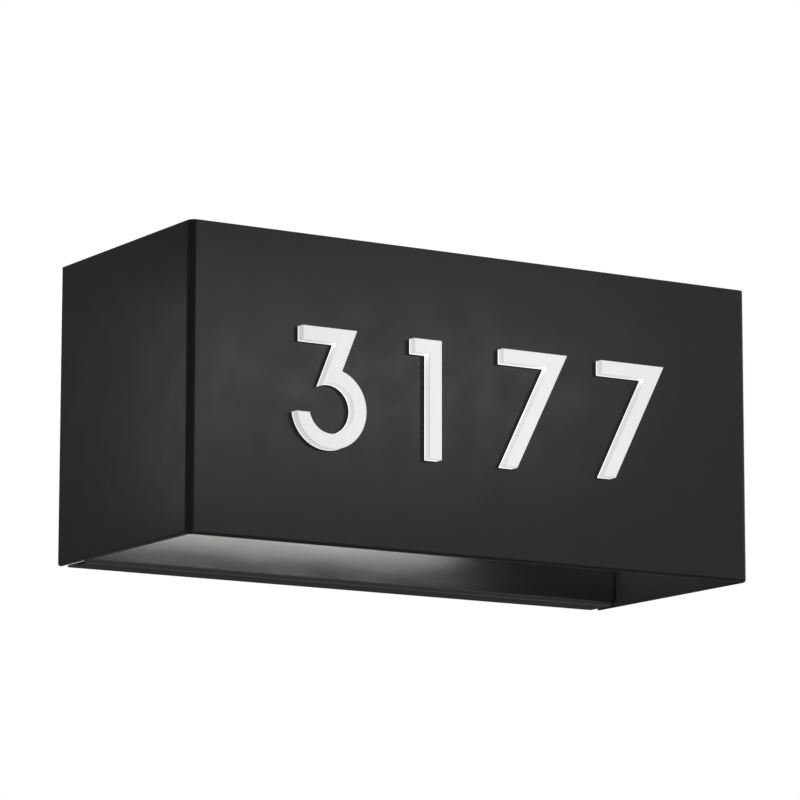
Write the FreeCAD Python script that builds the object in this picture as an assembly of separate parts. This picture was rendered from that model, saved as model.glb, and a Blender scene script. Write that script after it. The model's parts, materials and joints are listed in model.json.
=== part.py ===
"""Illuminated house number sign: a sheet-metal hood, open at the bottom, over a wall pan and a lamp.

Frame: X along the sign's width, +Y into the wall, +Z up. The wall is the plane Y = 0, and the origin
is the middle of the outlet box that the mounting strap is screwed to. All sizes are in millimetres.
"""
import FreeCAD, Part
import math
import os
from FreeCAD import Vector

# ---- Driving dimensions ---------------------------------------------------------------------

# Hood: front and sides bent from one sheet, with a top plate set in flush
HOOD_W = 430.0
HOOD_H = 200.0
HOOD_D = 176.0
HOOD_SHEET = 3.0
CORNER_R = 5.0       # outside radius of the two upright bends
RIM_R = 2.0          # round on the outer lower edge
RIM_INNER_R = 0.6    # round on the inner lower edge
TOP_EDGE_R = 0.5     # round on the outer upper edge
SEAM_BREAK = 0.3     # broken edges where the top plate meets the walls
WALL_GAP = 1.5       # the hood's rear edge stands off the wall
WELD_LEG = 3.0
FRONT_WELD_X = (-120.0, 0.0, 120.0)
FRONT_WELD_L = 40.0
SIDE_WELD_Y = (-140.0, -60.0)
SIDE_WELD_L = 30.0

# Numerals: push-through acrylic
NUMERAL_H = 78.0
NUMERAL_STROKE = 9.5
NUMERAL_PROUD = 6.0     # in front of the sheet
SHOULDER_T = 3.0        # the rim that stops behind the sheet
SHOULDER_W = 3.0
CUT_CLEARANCE = 0.2
FACE_BREAK = 0.4        # broken edge round each numeral's face
NUMERAL_X = (-141.2, -53.4, 14.7, 92.2)   # left edge of 3, 1, 7 and 7
SEVEN_W = 50.4
SEVEN_FOOT = 11.0        # right-hand end of the foot
ONE_W = 21.0
THREE_BAR = (4.5, 44.9)  # left and right ends of the flat top bar
THREE_BOWL_R = 26.0
THREE_COUNTER_R = 16.3
THREE_LEAN = 0.407       # sideways run of the diagonal for each unit of height
THREE_DIAGONAL = 11.1    # width of the diagonal, measured level
THREE_TIP = 22.4         # height of the bowl's level cut end

# Opal plate behind the numerals
BACKER_W = 336.0
BACKER_H = 112.0
BACKER_T = 3.0
BACKER_R = 6.0
BACKER_BOLT_X = (-160.0, -9.0, 160.0)
BACKER_BOLT_Z = 48.0
BACKER_STUD_L = 13.0
STUD_FOOT_R = 3.0       # weld foot of each stud
STUD_FOOT_T = 0.8

# Wall pan
PAN_DEPTH = 26.0
PAN_SHEET = 1.5
PAN_BEND_R = 3.0
PAN_SIDE_GAP = 0.8     # to the hood's sides
PAN_RELIEF = 4.2       # square notch at each corner of the tray
CLINCH_R = 3.5
CLINCH_BODY_R = 5.0
CLINCH_L = 8.0

# Mounting strap, for a 4 in outlet box
STRAP_L = 140.0
STRAP_W = 22.0
STRAP_T = 2.0
STRAP_CORNER_R = 5.0
STRAP_COLLAR_R = 4.0    # extruded collar round each threaded hole
STRAP_COLLAR_H = 1.5
STRAP_CENTRE_HOLE = 10.4
STRAP_GROUND_X = 20.0
BOX_SCREW_SPACING = 88.9
BOX_SLOT_L = 14.0
BOX_SLOT_W = 4.8
STUD_SPACING = 120.0
STUD_PROUD = 9.0        # in front of the pan's face
SEAL_R = 6.5
SEAL_T = 1.2
CAP_NUT_HEX_H = 5.0
CAP_NUT_DOME_R = 3.7

# Earth bond
GROUND_STUD = (45.0, -30.0)
GROUND_STUD_L = 8.0
LUG_T = 0.8
LUG_R = 4.0
LUG_L = 10.0
CRIMP_R = 1.9
CRIMP_L = 5.0

# Lampholder and its bracket
LAMP_Y = -95.0
BRACKET_T = 2.0
BRACKET_W = 44.0
BRACKET_BEND_R = 4.0
ARM_TOP = 88.0
LEG_BOTTOM = 52.0
RIVET_R = 1.6
RIVET_HEAD_R = 3.2
RIVET_X = 15.0
RIVET_Z = (58.0, 78.0)
GROMMET_Z = 70.0
GROMMET_HOLE_R = 6.0
GROMMET_BORE_R = 3.9
GROMMET_LIP_R = 8.0
GROMMET_LIP_T = 1.5
HOLDER_H = 50.0
HOLDER_R = 20.5
HOLDER_BEAD_R = 22.0    # bead round the mouth
HOLDER_SCREW_X = 11.0
NECK_R = 17.0
NECK_L = 14.0
BORE_R = 14.6
BORE_ROOF = 15.0        # porcelain above the bore
SHELL_OUTER_R = 14.2
SHELL_INNER_R = 13.4
SHELL_FLOOR = 0.8
CONTACT_HOLE_R = 5.0
CONTACT_T = 0.6
CONTACT_W = 5.0

# LED bulb with a medium screw cap
CAP_R = 13.0
CAP_L = 26.0
CAP_NOSE_R = 9.0
CONTACT_DROP = 3.4      # the cap's tip stops this far below the bore's roof
TIP_L = 4.4
TIP_STUB = 1.4          # solder dot on the insulator
BULB_R = 30.0
BULB_L = 110.0
COLLAR_LOW = 2.0        # where the housing meets the globe
COLLAR_WALL = 2.0
GLOBE_WALL = 1.5
BOARD_R = 20.5
BOARD_T = 1.6
BOARD_RISE = 10.0       # the board's top above the housing's lower rim
EMITTER_COUNT = 8
EMITTER_RING_R = 14.0
EMITTER_W = 3.0
EMITTER_T = 0.8

# Leads and wire connectors
LEAD_D = 2.4
LEAD_X = 5.0
CONNECTOR_X = 24.0
CONNECTOR_Y = -12.5
CONNECTOR_TOP = 44.0
CONNECTOR_L = 24.0

# Fasteners
M4_R = 2.0
M5_R = 2.5
THREAD_GAP = 0.05       # between a thread's crest and its nut
NUT_M4 = (7.0, 3.2)     # across flats, height
NUT_M5 = (8.0, 4.0)
WASHER_R = 4.5
WASHER_T = 0.8
HOOD_SCREW_X = 150.0
HOOD_SCREW_L = 13.0
BUTTON_R = 4.75
BUTTON_H = 2.75
BUTTON_KEY = 3.0        # across the flats of its socket
BUTTON_KEY_DEPTH = 1.5

OVERCUT = 1.0           # how far a cutting shape reaches past a sheet
NEAR = 0.01             # a distance that counts as none

# ---- Derived planes -------------------------------------------------------------------------

HALF_W = HOOD_W / 2
TOP = HOOD_H / 2
BOTTOM = -HOOD_H / 2
HOOD_REAR = -WALL_GAP
FRONT = HOOD_REAR - HOOD_D
FRONT_INNER = FRONT + HOOD_SHEET
TOP_INNER = TOP - HOOD_SHEET
PAN_FACE = -PAN_DEPTH
PAN_INNER = PAN_FACE + PAN_SHEET
PAN_HALF_W = HALF_W - HOOD_SHEET - PAN_SIDE_GAP
PAN_FLANGE_Y = PAN_FACE / 2
STUD_END = PAN_FACE - STUD_PROUD
SEAL_FACE = PAN_FACE - SEAL_T
LEG_FACE = PAN_FACE - BRACKET_T
SHOULDER_BACK = FRONT_INNER + SHOULDER_T
BACKER_BACK = SHOULDER_BACK + BACKER_T
HOLDER_TOP = ARM_TOP - BRACKET_T
HOLDER_MOUTH = HOLDER_TOP - HOLDER_H
BORE_TOP = HOLDER_TOP - BORE_ROOF
LEAD_Z = HOLDER_TOP - NECK_L / 2
NECK_LEAD_Y = LAMP_Y + 12.0
TIP_TOP = BORE_TOP - CONTACT_DROP
CAP_TOP = TIP_TOP - TIP_L
CAP_LOW = TIP_TOP - CAP_L
BULB_LOW = TIP_TOP - BULB_L
GLOBE_RIM_R = BULB_R - 1.5

BOTH_SIDES = (-1, 1)
X_AXIS = Vector(1, 0, 0)
Y_AXIS = Vector(0, 1, 0)
Z_AXIS = Vector(0, 0, 1)


# ---- Shape helpers --------------------------------------------------------------------------

def box(x0, x1, y0, y1, z0, z1):
    return Part.makeBox(x1 - x0, y1 - y0, z1 - z0, Vector(x0, y0, z0))


def rod(radius, start, end):
    """Round bar from one point to another."""
    run = Vector(*end) - Vector(*start)
    return Part.makeCylinder(radius, run.Length, Vector(*start), run)


def ring(outer_r, inner_r, start, end):
    return rod(outer_r, start, end).cut(rod(inner_r, start, end))


def polygon(points):
    return Part.makePolygon(points + [points[0]])


def prism(wire, direction):
    return Part.Face(wire).extrude(direction)


def hexagon_bar(across_flats, start, run):
    """Six-sided bar from a start point, along a run that is square to X."""
    run = Vector(*run)
    up = run.cross(X_AXIS).normalize()
    turns = [math.radians(60 * side) for side in range(6)]
    corner_r = across_flats / math.sqrt(3)
    corners = [Vector(*start) + (X_AXIS * math.cos(t) + up * math.sin(t)) * corner_r for t in turns]
    return prism(polygon(corners), run)


def hex_nut(size, bore_r, start):
    """Nut along +Y from its seat."""
    across, height = size
    x, y, z = start
    bore = rod(bore_r + THREAD_GAP, start, (x, y + height, z))
    return hexagon_bar(across, start, (0, height, 0)).cut(bore)


def rounded_plate(width, height, radius, y0, y1):
    """Plate across Y with rounded corners, centred on X and Z."""
    plate = box(-width / 2, width / 2, y0, y1, -height / 2, height / 2)
    through = [e for e in plate.Edges if abs(e.BoundBox.YLength - (y1 - y0)) < NEAR]
    return plate.makeFillet(radius, through)


def corner_arc(before, corner, after, radius):
    """Tangent arc that rounds one corner of a path: its start, middle and end."""
    back = (before - corner).normalize()
    ahead = (after - corner).normalize()
    half = back.getAngle(ahead) / 2
    setback = radius / math.tan(half)
    inward = (back + ahead).normalize()
    centre = corner + inward * (radius / math.sin(half))
    return corner + back * setback, centre - inward * radius, corner + ahead * setback


def rounded_outline(corners):
    """Closed wire through corners, each a point and the radius that rounds it (0 for a sharp one)."""
    points = [point for point, _ in corners]
    spots = []
    for before, (corner, radius), after in zip(points[-1:] + points, corners, points[1:] + points[:1]):
        spots.append(corner_arc(before, corner, after, radius) if radius else (corner,))
    edges = []
    for spot, following in zip(spots, spots[1:] + spots[:1]):
        if len(spot) > 1:
            edges.append(Part.Arc(*spot))
        if (following[0] - spot[-1]).Length > NEAR:
            edges.append(Part.LineSegment(spot[-1], following[0]))
    return Part.Wire([edge.toShape() for edge in edges])


def turned(profile, centre_x, centre_y):
    """Solid of revolution about an upright axis, from (radius, z) or (radius, z, rounding) corners."""
    corners = [(Vector(centre_x + at[0], centre_y, at[1]), at[2] if len(at) > 2 else 0) for at in profile]
    return Part.Face(rounded_outline(corners)).revolve(Vector(centre_x, centre_y, 0), Z_AXIS, 360)


def wire_tube(points, diameter):
    """Round wire along straight runs joined by tangent arcs."""
    route = [Vector(*point) for point in points]
    edges = []
    at = route[0]
    for before, corner, after in zip(route, route[1:], route[2:]):
        half_turn = (math.pi - (before - corner).getAngle(after - corner)) / 2
        shorter = min((before - corner).Length, (after - corner).Length)
        radius = 0.45 * shorter / math.tan(half_turn)
        start, middle, end = corner_arc(before, corner, after, radius)
        edges += [Part.LineSegment(at, start), Part.Arc(start, middle, end)]
        at = end
    edges.append(Part.LineSegment(at, route[-1]))
    path = Part.Wire([edge.toShape() for edge in edges])
    section = Part.Wire(Part.makeCircle(diameter / 2, route[0], route[1] - route[0]))
    return path.makePipeShell([section], True, False)


def joined(solids):
    """One clean solid out of several that touch or overlap."""
    return solids[0].fuse(solids[1:]).removeSplitter()


def group(solids):
    return Part.makeCompound(solids)


# ---- Numerals -------------------------------------------------------------------------------

def drawn(*corners):
    """Points of a drawing on the plane Y = 0, from (x, z) pairs."""
    return [Vector(x, 0, z) for x, z in corners]


def outline_seven():
    lean = (SEVEN_W - SEVEN_FOOT) / NUMERAL_H
    level_stroke = NUMERAL_STROKE * math.hypot(1, lean)
    foot_left = SEVEN_FOOT - level_stroke
    under_bar = NUMERAL_H - NUMERAL_STROKE
    return polygon(drawn((0, NUMERAL_H), (SEVEN_W, NUMERAL_H), (SEVEN_FOOT, 0), (foot_left, 0),
                         (foot_left + lean * under_bar, under_bar), (0, under_bar)))


def outline_one():
    under_flag = NUMERAL_H - NUMERAL_STROKE
    stem = ONE_W - NUMERAL_STROKE
    return polygon(drawn((0, NUMERAL_H), (ONE_W, NUMERAL_H), (ONE_W, 0), (stem, 0), (stem, under_flag),
                         (0, under_flag)))


def lean_meets_circle(x_at_top, radius):
    """Upper point where the leaning diagonal's edge meets a circle about the bowl's centre."""
    centre = THREE_BOWL_R
    offset = x_at_top - THREE_LEAN * (NUMERAL_H - centre) - centre
    a = 1 + THREE_LEAN ** 2
    b = offset * THREE_LEAN
    rise = (-b + math.sqrt(b * b - a * (offset * offset - radius * radius))) / a
    return centre + offset + THREE_LEAN * rise, centre + rise


def bowl_arc(start, end, radius):
    """Arc of the 3's bowl, round through its lower right."""
    across = radius * math.sqrt(0.5)
    return Part.Arc(start, *drawn((THREE_BOWL_R + across, THREE_BOWL_R - across)), end)


def outline_three():
    """Flat bar, leaning diagonal and a round bowl with a level cut end."""
    centre = THREE_BOWL_R
    left, right = THREE_BAR
    under_bar = NUMERAL_H - NUMERAL_STROKE
    inner_top = right - THREE_DIAGONAL
    tip_drop = centre - THREE_TIP
    tips = drawn(*[(centre - math.sqrt(r ** 2 - tip_drop ** 2), THREE_TIP)
                   for r in (THREE_BOWL_R, THREE_COUNTER_R)])
    flat = drawn(lean_meets_circle(right, THREE_BOWL_R), (right, NUMERAL_H), (left, NUMERAL_H),
                 (left, under_bar), (inner_top - THREE_LEAN * NUMERAL_STROKE, under_bar),
                 lean_meets_circle(inner_top, THREE_COUNTER_R))
    edges = [Part.LineSegment(a, b) for a, b in zip(flat, flat[1:])]
    edges += [bowl_arc(flat[-1], tips[1], THREE_COUNTER_R), Part.LineSegment(tips[1], tips[0]),
              bowl_arc(tips[0], flat[0], THREE_BOWL_R)]
    return Part.Wire([edge.toShape() for edge in edges])


def placed_outlines():
    """The four outlines on the plane Y = 0, at their places on the front."""
    names = ("numeral_three", "numeral_one", "numeral_seven_left", "numeral_seven_right")
    makers = (outline_three, outline_one, outline_seven, outline_seven)
    outlines = {}
    for name, maker, left in zip(names, makers, NUMERAL_X):
        outline = maker()
        outline.translate(Vector(left, 0, -NUMERAL_H / 2))
        outlines[name] = outline
    return outlines


def slab(wire, y0, y1):
    """Outline drawn on Y = 0, made solid between two planes."""
    moved = wire.copy()
    moved.translate(Vector(0, y0, 0))
    return prism(moved, Vector(0, y1 - y0, 0))


def numeral(outline):
    """Numeral with its shoulder behind the sheet and a broken edge round its face."""
    face_y = FRONT - NUMERAL_PROUD
    front = slab(outline, face_y, FRONT_INNER)
    rim = [e for e in front.Edges if abs(e.BoundBox.YMax - face_y) < NEAR]
    front = front.makeChamfer(FACE_BREAK, rim)
    shoulder = slab(outline.makeOffset2D(SHOULDER_W), FRONT_INNER, SHOULDER_BACK)
    return joined([front, shoulder])


def backer_bolts():
    return [(x, side * BACKER_BOLT_Z) for x in BACKER_BOLT_X for side in BOTH_SIDES]


def numeral_backer():
    """Opal plate that the shoulders are bonded to."""
    hole_r = M4_R + 0.25
    plate = rounded_plate(BACKER_W, BACKER_H, BACKER_R, SHOULDER_BACK, BACKER_BACK)
    return plate.cut([rod(hole_r, (x, SHOULDER_BACK, z), (x, BACKER_BACK, z)) for x, z in backer_bolts()])


def backer_studs():
    """Weld studs on the back of the front sheet."""
    studs = []
    for x, z in backer_bolts():
        foot = rod(STUD_FOOT_R, (x, FRONT_INNER, z), (x, FRONT_INNER + STUD_FOOT_T, z))
        shank = rod(M4_R, (x, FRONT_INNER, z), (x, FRONT_INNER + BACKER_STUD_L, z))
        studs.append(joined([foot, shank]))
    return group(studs)


def backer_washers():
    end = BACKER_BACK + WASHER_T
    bore_r = M4_R + 0.15
    return group([ring(WASHER_R, bore_r, (x, BACKER_BACK, z), (x, end, z)) for x, z in backer_bolts()])


def backer_nuts():
    seat = BACKER_BACK + WASHER_T
    return group([hex_nut(NUT_M4, M4_R, (x, seat, z)) for x, z in backer_bolts()])


# ---- Hood -----------------------------------------------------------------------------------

def hood_plan(inset, y_rear, z0, z1):
    """Upright prism with the hood's plan, inset by some amount from its outside."""
    half = HALF_W - inset
    front = FRONT + inset
    bend_r = CORNER_R - inset
    corners = [(Vector(-half, front, z0), bend_r), (Vector(half, front, z0), bend_r),
               (Vector(half, y_rear, z0), 0), (Vector(-half, y_rear, z0), 0)]
    return prism(rounded_outline(corners), Vector(0, 0, z1 - z0))


def depth_inside(point):
    """How far a point lies inside the hood's plan, square to its front, a side or a bend."""
    from_side = HALF_W - abs(point.x)
    from_front = point.y - FRONT
    if max(from_side, from_front) < CORNER_R:
        return CORNER_R - math.hypot(CORNER_R - from_side, CORNER_R - from_front)
    return min(from_side, from_front)


def rim_edges(shape, level, depth):
    """Edges at one level that follow the hood's plan at one depth inside it."""
    found = []
    for edge in shape.Edges:
        heights = (edge.BoundBox.ZMin, edge.BoundBox.ZMax)
        middle = edge.valueAt((edge.FirstParameter + edge.LastParameter) / 2)
        level_edge = all(abs(height - level) < NEAR for height in heights)
        if level_edge and middle.y < HOOD_REAR - NEAR and abs(depth_inside(middle) - depth) < NEAR:
            found.append(edge)
    return found


def hood_wrap(outlines):
    """Front and sides in one bent sheet, with the numerals cut through and eased rims."""
    sheet = hood_plan(0, HOOD_REAR, BOTTOM, TOP).cut(hood_plan(HOOD_SHEET, 0, BOTTOM, TOP))
    sheet = sheet.makeFillet(RIM_R, rim_edges(sheet, BOTTOM, 0))
    sheet = sheet.makeFillet(RIM_INNER_R, rim_edges(sheet, BOTTOM, HOOD_SHEET))
    sheet = sheet.makeFillet(TOP_EDGE_R, rim_edges(sheet, TOP, 0))
    sheet = sheet.makeChamfer(SEAM_BREAK, rim_edges(sheet, TOP, HOOD_SHEET))
    for outline in outlines.values():
        hole = outline.makeOffset2D(CUT_CLEARANCE, 2)
        sheet = sheet.cut(slab(hole, FRONT - OVERCUT, FRONT_INNER + OVERCUT))
    return sheet


def hood_top():
    """Top plate, set in between the walls, with two open slots at its rear edge."""
    plate = hood_plan(HOOD_SHEET, HOOD_REAR, TOP_INNER, TOP)
    plate = plate.makeChamfer(SEAM_BREAK, rim_edges(plate, TOP, HOOD_SHEET))
    slot_r = M5_R + 0.4
    for x in (-HOOD_SCREW_X, HOOD_SCREW_X):
        plate = plate.cut([rod(slot_r, (x, PAN_FLANGE_Y, TOP_INNER), (x, PAN_FLANGE_Y, TOP)),
                           box(x - slot_r, x + slot_r, PAN_FLANGE_Y, 0, TOP_INNER, TOP)])
    return plate


def top_weld_beads():
    """Stitch welds in the corner under the top plate: three along the front, two along each side."""
    low = TOP_INNER - WELD_LEG
    beads = []
    for x in FRONT_WELD_X:
        corners = [(FRONT_INNER, TOP_INNER), (FRONT_INNER + WELD_LEG, TOP_INNER), (FRONT_INNER, low)]
        points = [Vector(x - FRONT_WELD_L / 2, y, z) for y, z in corners]
        beads.append(prism(polygon(points), Vector(FRONT_WELD_L, 0, 0)))
    wall = HALF_W - HOOD_SHEET
    for side in BOTH_SIDES:
        for y in SIDE_WELD_Y:
            corners = [(wall, TOP_INNER), (wall - WELD_LEG, TOP_INNER), (wall, low)]
            points = [Vector(side * x, y - SIDE_WELD_L / 2, z) for x, z in corners]
            beads.append(prism(polygon(points), Vector(0, SIDE_WELD_L, 0)))
    return group(beads)


def hood_screws():
    """Button-head screws down through the top plate's slots into the clinch nuts."""
    rim_h = 0.9
    crown_r = BUTTON_R * 0.55
    end = TOP - HOOD_SCREW_L
    screws = []
    for x in (-HOOD_SCREW_X, HOOD_SCREW_X):
        profile = [(0, end), (M5_R, end, 0.5), (M5_R, TOP), (BUTTON_R, TOP), (BUTTON_R, TOP + rim_h, 0.4),
                   (crown_r, TOP + BUTTON_H, 2.0), (0, TOP + BUTTON_H)]
        key_floor = TOP + BUTTON_H - BUTTON_KEY_DEPTH
        key = hexagon_bar(BUTTON_KEY, (x, PAN_FLANGE_Y, key_floor), (0, 0, BUTTON_KEY_DEPTH))
        screws.append(turned(profile, x, PAN_FLANGE_Y).cut(key))
    return group(screws)


# ---- Wall pan -------------------------------------------------------------------------------

def rivet_places():
    return [(side * RIVET_X, z) for side in BOTH_SIDES for z in RIVET_Z]


def stud_places():
    return [side * STUD_SPACING / 2 for side in BOTH_SIDES]


def tray(half_w, y_face, z0, z1, bend_r):
    block = box(-half_w, half_w, y_face, 0, z0, z1)
    front = [e for e in block.Edges if abs(e.BoundBox.YMax - y_face) < NEAR]
    return block.makeFillet(bend_r, front)


def pan_holes():
    """Holes through the pan's face: for the fixture studs, the leads and the bracket's rivets."""
    studs = [(x, 0, M5_R + 0.5) for x in stud_places()]
    rivets = [(x, z, RIVET_R) for x, z in rivet_places()]
    return studs + rivets + [(0, GROMMET_Z, GROMMET_HOLE_R)]


def back_pan():
    """Tray with its face forwards and its four flanges turned back to the wall."""
    outside = tray(PAN_HALF_W, PAN_FACE, BOTTOM, TOP_INNER, PAN_BEND_R)
    inside = tray(PAN_HALF_W - PAN_SHEET, PAN_INNER, BOTTOM + PAN_SHEET, TOP_INNER - PAN_SHEET,
                  PAN_BEND_R - PAN_SHEET)
    cuts = [inside]
    for x in (-PAN_HALF_W, PAN_HALF_W - PAN_RELIEF):
        for z in (BOTTOM, TOP_INNER - PAN_RELIEF):
            cuts.append(box(x, x + PAN_RELIEF, PAN_FACE, 0, z, z + PAN_RELIEF))
    for x, z, radius in pan_holes():
        cuts.append(rod(radius, (x, PAN_FACE, z), (x, PAN_INNER, z)))
    for x in (-HOOD_SCREW_X, HOOD_SCREW_X):
        cuts.append(rod(CLINCH_R, (x, PAN_FLANGE_Y, TOP_INNER - PAN_SHEET), (x, PAN_FLANGE_Y, TOP_INNER)))
    return outside.cut(cuts)


def clinch_nuts():
    """Threaded inserts pressed into the pan's top flange."""
    nuts = []
    for x in (-HOOD_SCREW_X, HOOD_SCREW_X):
        top, flange, end = [(x, PAN_FLANGE_Y, TOP_INNER - drop) for drop in (0, PAN_SHEET, CLINCH_L)]
        body = joined([rod(CLINCH_R, top, flange), rod(CLINCH_BODY_R, flange, end)])
        nuts.append(body.cut(rod(M5_R + THREAD_GAP, top, end)))
    return group(nuts)


# ---- Mounting strap -------------------------------------------------------------------------

def mounting_strap():
    """Flat strap with two slots for the outlet box's screws and two extruded, threaded stud holes."""
    collar_face = -STRAP_T - STRAP_COLLAR_H
    slot_r = BOX_SLOT_W / 2
    half_run = (BOX_SLOT_L - BOX_SLOT_W) / 2
    plate = rounded_plate(STRAP_L, STRAP_W, STRAP_CORNER_R, -STRAP_T, 0)
    collars = [rod(STRAP_COLLAR_R, (x, collar_face, 0), (x, -STRAP_T, 0)) for x in stud_places()]
    cuts = [rod(M5_R + THREAD_GAP, (x, collar_face, 0), (x, 0, 0)) for x in stud_places()]
    cuts.append(rod(STRAP_CENTRE_HOLE / 2, (0, -STRAP_T, 0), (0, 0, 0)))
    cuts.append(rod(M4_R + THREAD_GAP, (STRAP_GROUND_X, -STRAP_T, 0), (STRAP_GROUND_X, 0, 0)))
    for side in BOTH_SIDES:
        ends = [side * BOX_SCREW_SPACING / 2 + run for run in (-half_run, half_run)]
        cuts.append(box(*ends, -STRAP_T, 0, -slot_r, slot_r))
        cuts += [rod(slot_r, (x, -STRAP_T, 0), (x, 0, 0)) for x in ends]
    return joined([plate] + collars).cut(cuts)


def fixture_studs():
    return group([rod(M5_R, (x, STUD_END, 0), (x, 0, 0)) for x in stud_places()])


def strap_lock_nuts():
    start = -STRAP_T - STRAP_COLLAR_H - NUT_M5[1]
    return group([hex_nut(NUT_M5, M5_R, (x, start, 0)) for x in stud_places()])


def sealing_washers():
    bore_r = M5_R + 0.1
    return group([ring(SEAL_R, bore_r, (x, SEAL_FACE, 0), (x, PAN_FACE, 0)) for x in stud_places()])


def cap_nuts():
    """Domed nuts that hold the pan on its studs."""
    hex_face = SEAL_FACE - CAP_NUT_HEX_H
    dome_y = hex_face - 1.5
    bore_end = STUD_END - 0.3
    nuts = []
    for x in stud_places():
        hexagon = hexagon_bar(NUT_M5[0], (x, hex_face, 0), (0, CAP_NUT_HEX_H, 0))
        neck = rod(CAP_NUT_DOME_R, (x, dome_y, 0), (x, hex_face, 0))
        dome = Part.makeSphere(CAP_NUT_DOME_R, Vector(x, dome_y, 0))
        bore = rod(M5_R + THREAD_GAP, (x, bore_end, 0), (x, SEAL_FACE, 0))
        nuts.append(joined([hexagon, neck, dome]).cut(bore))
    return group(nuts)


# ---- Earth bond -----------------------------------------------------------------------------

def strap_ground_screw():
    """Hexagon-head earth screw in the strap."""
    head_h = 2.8
    seat = -STRAP_T - LUG_T
    shank = rod(M4_R, (STRAP_GROUND_X, seat, 0), (STRAP_GROUND_X, 0, 0))
    return joined([shank, hexagon_bar(NUT_M4[0], (STRAP_GROUND_X, seat - head_h, 0), (0, head_h, 0))])


def ground_stud():
    """Earth stud welded to the inside of the pan's face."""
    x, z = GROUND_STUD
    return rod(M4_R, (x, PAN_INNER, z), (x, PAN_INNER + GROUND_STUD_L, z))


def ground_nut():
    x, z = GROUND_STUD
    return hex_nut(NUT_M4, M4_R, (x, PAN_INNER + LUG_T, z))


def ring_terminal():
    """Ring terminal that lies on Y = 0 round the origin, with its crimp barrel along +X."""
    crimp_start = LUG_L - CRIMP_L
    lead_start = LUG_L - 2.0
    tongue_half = 1.6
    eye = ring(LUG_R, M4_R + 0.1, (0, 0, 0), (0, LUG_T, 0))
    tongue = box(LUG_R - LUG_T, crimp_start + 1.0, 0, LUG_T, -tongue_half, tongue_half)
    barrel = rod(CRIMP_R, (crimp_start, CRIMP_R, 0), (LUG_L, CRIMP_R, 0))
    barrel = barrel.cut(rod(LEAD_D / 2, (lead_start, CRIMP_R, 0), (LUG_L, CRIMP_R, 0)))
    return joined([eye, tongue, barrel])


def ring_terminals():
    """One terminal on the pan's earth stud, and one under the strap's earth screw that points down."""
    x, z = GROUND_STUD
    on_pan = ring_terminal()
    on_pan.translate(Vector(x, PAN_INNER, z))
    on_strap = ring_terminal()
    on_strap.rotate(Vector(), Z_AXIS, 180)
    on_strap.rotate(Vector(), Y_AXIS, -90)
    on_strap.translate(Vector(STRAP_GROUND_X, -STRAP_T, 0))
    return group([on_pan, on_strap])


def ground_lead():
    """Earth lead from the pan's stud to the strap's screw."""
    x, z = GROUND_STUD
    start = x + LUG_L - 2.0
    y_pan = PAN_INNER + CRIMP_R
    y_strap = -STRAP_T - CRIMP_R
    route = [(start, y_pan, z), (start + 10.0, y_pan, z), (start + 16.0, -16.0, z - 14.0),
             (x, -12.0, z - 26.0), (STRAP_GROUND_X + 6.0, -8.0, z - 18.0), (STRAP_GROUND_X, y_strap, z),
             (STRAP_GROUND_X, y_strap, -LUG_L + 2.0)]
    return wire_tube(route, LEAD_D)


# ---- Lampholder and its bracket -------------------------------------------------------------

def lamp_bracket():
    """Bent strip: a leg riveted to the pan's face and an arm that carries the lampholder."""
    half = BRACKET_W / 2
    inner_r = BRACKET_BEND_R - BRACKET_T
    tip = LAMP_Y - half
    section = [((PAN_FACE, LEG_BOTTOM), 0), ((PAN_FACE, ARM_TOP), BRACKET_BEND_R), ((tip, ARM_TOP), 0),
               ((tip, HOLDER_TOP), 0), ((LEG_FACE, HOLDER_TOP), inner_r), ((LEG_FACE, LEG_BOTTOM), 0)]
    outline = rounded_outline([(Vector(-half, y, z), radius) for (y, z), radius in section])
    strip = prism(outline, Vector(BRACKET_W, 0, 0))
    round_end = rod(half, (0, LAMP_Y, 0), (0, LAMP_Y, TOP))
    strip = strip.common(joined([box(-half, half, LAMP_Y, 0, 0, TOP), round_end]))
    screw_hole_r = M4_R + 0.1
    holes = [rod(RIVET_R, (x, LEG_FACE, z), (x, PAN_FACE, z)) for x, z in rivet_places()]
    holes.append(rod(GROMMET_HOLE_R, (0, LEG_FACE, GROMMET_Z), (0, PAN_FACE, GROMMET_Z)))
    holes += [rod(screw_hole_r, (x, LAMP_Y, HOLDER_TOP), (x, LAMP_Y, ARM_TOP))
              for x in (-HOLDER_SCREW_X, HOLDER_SCREW_X)]
    return strip.cut(holes).removeSplitter()


def bracket_rivets():
    """Blind rivets: domed head in front, formed tail inside the pan."""
    head_h = 1.0
    tail_r = 2.3
    tail_end = PAN_INNER + 2.0
    rivets = []
    for x, z in rivet_places():
        shank = rod(RIVET_R, (x, LEG_FACE, z), (x, tail_end, z))
        head = rod(RIVET_HEAD_R, (x, LEG_FACE - head_h, z), (x, LEG_FACE, z))
        tail = rod(tail_r, (x, PAN_INNER, z), (x, tail_end, z))
        rivets.append(joined([shank, head, tail]))
    return group(rivets)


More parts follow.
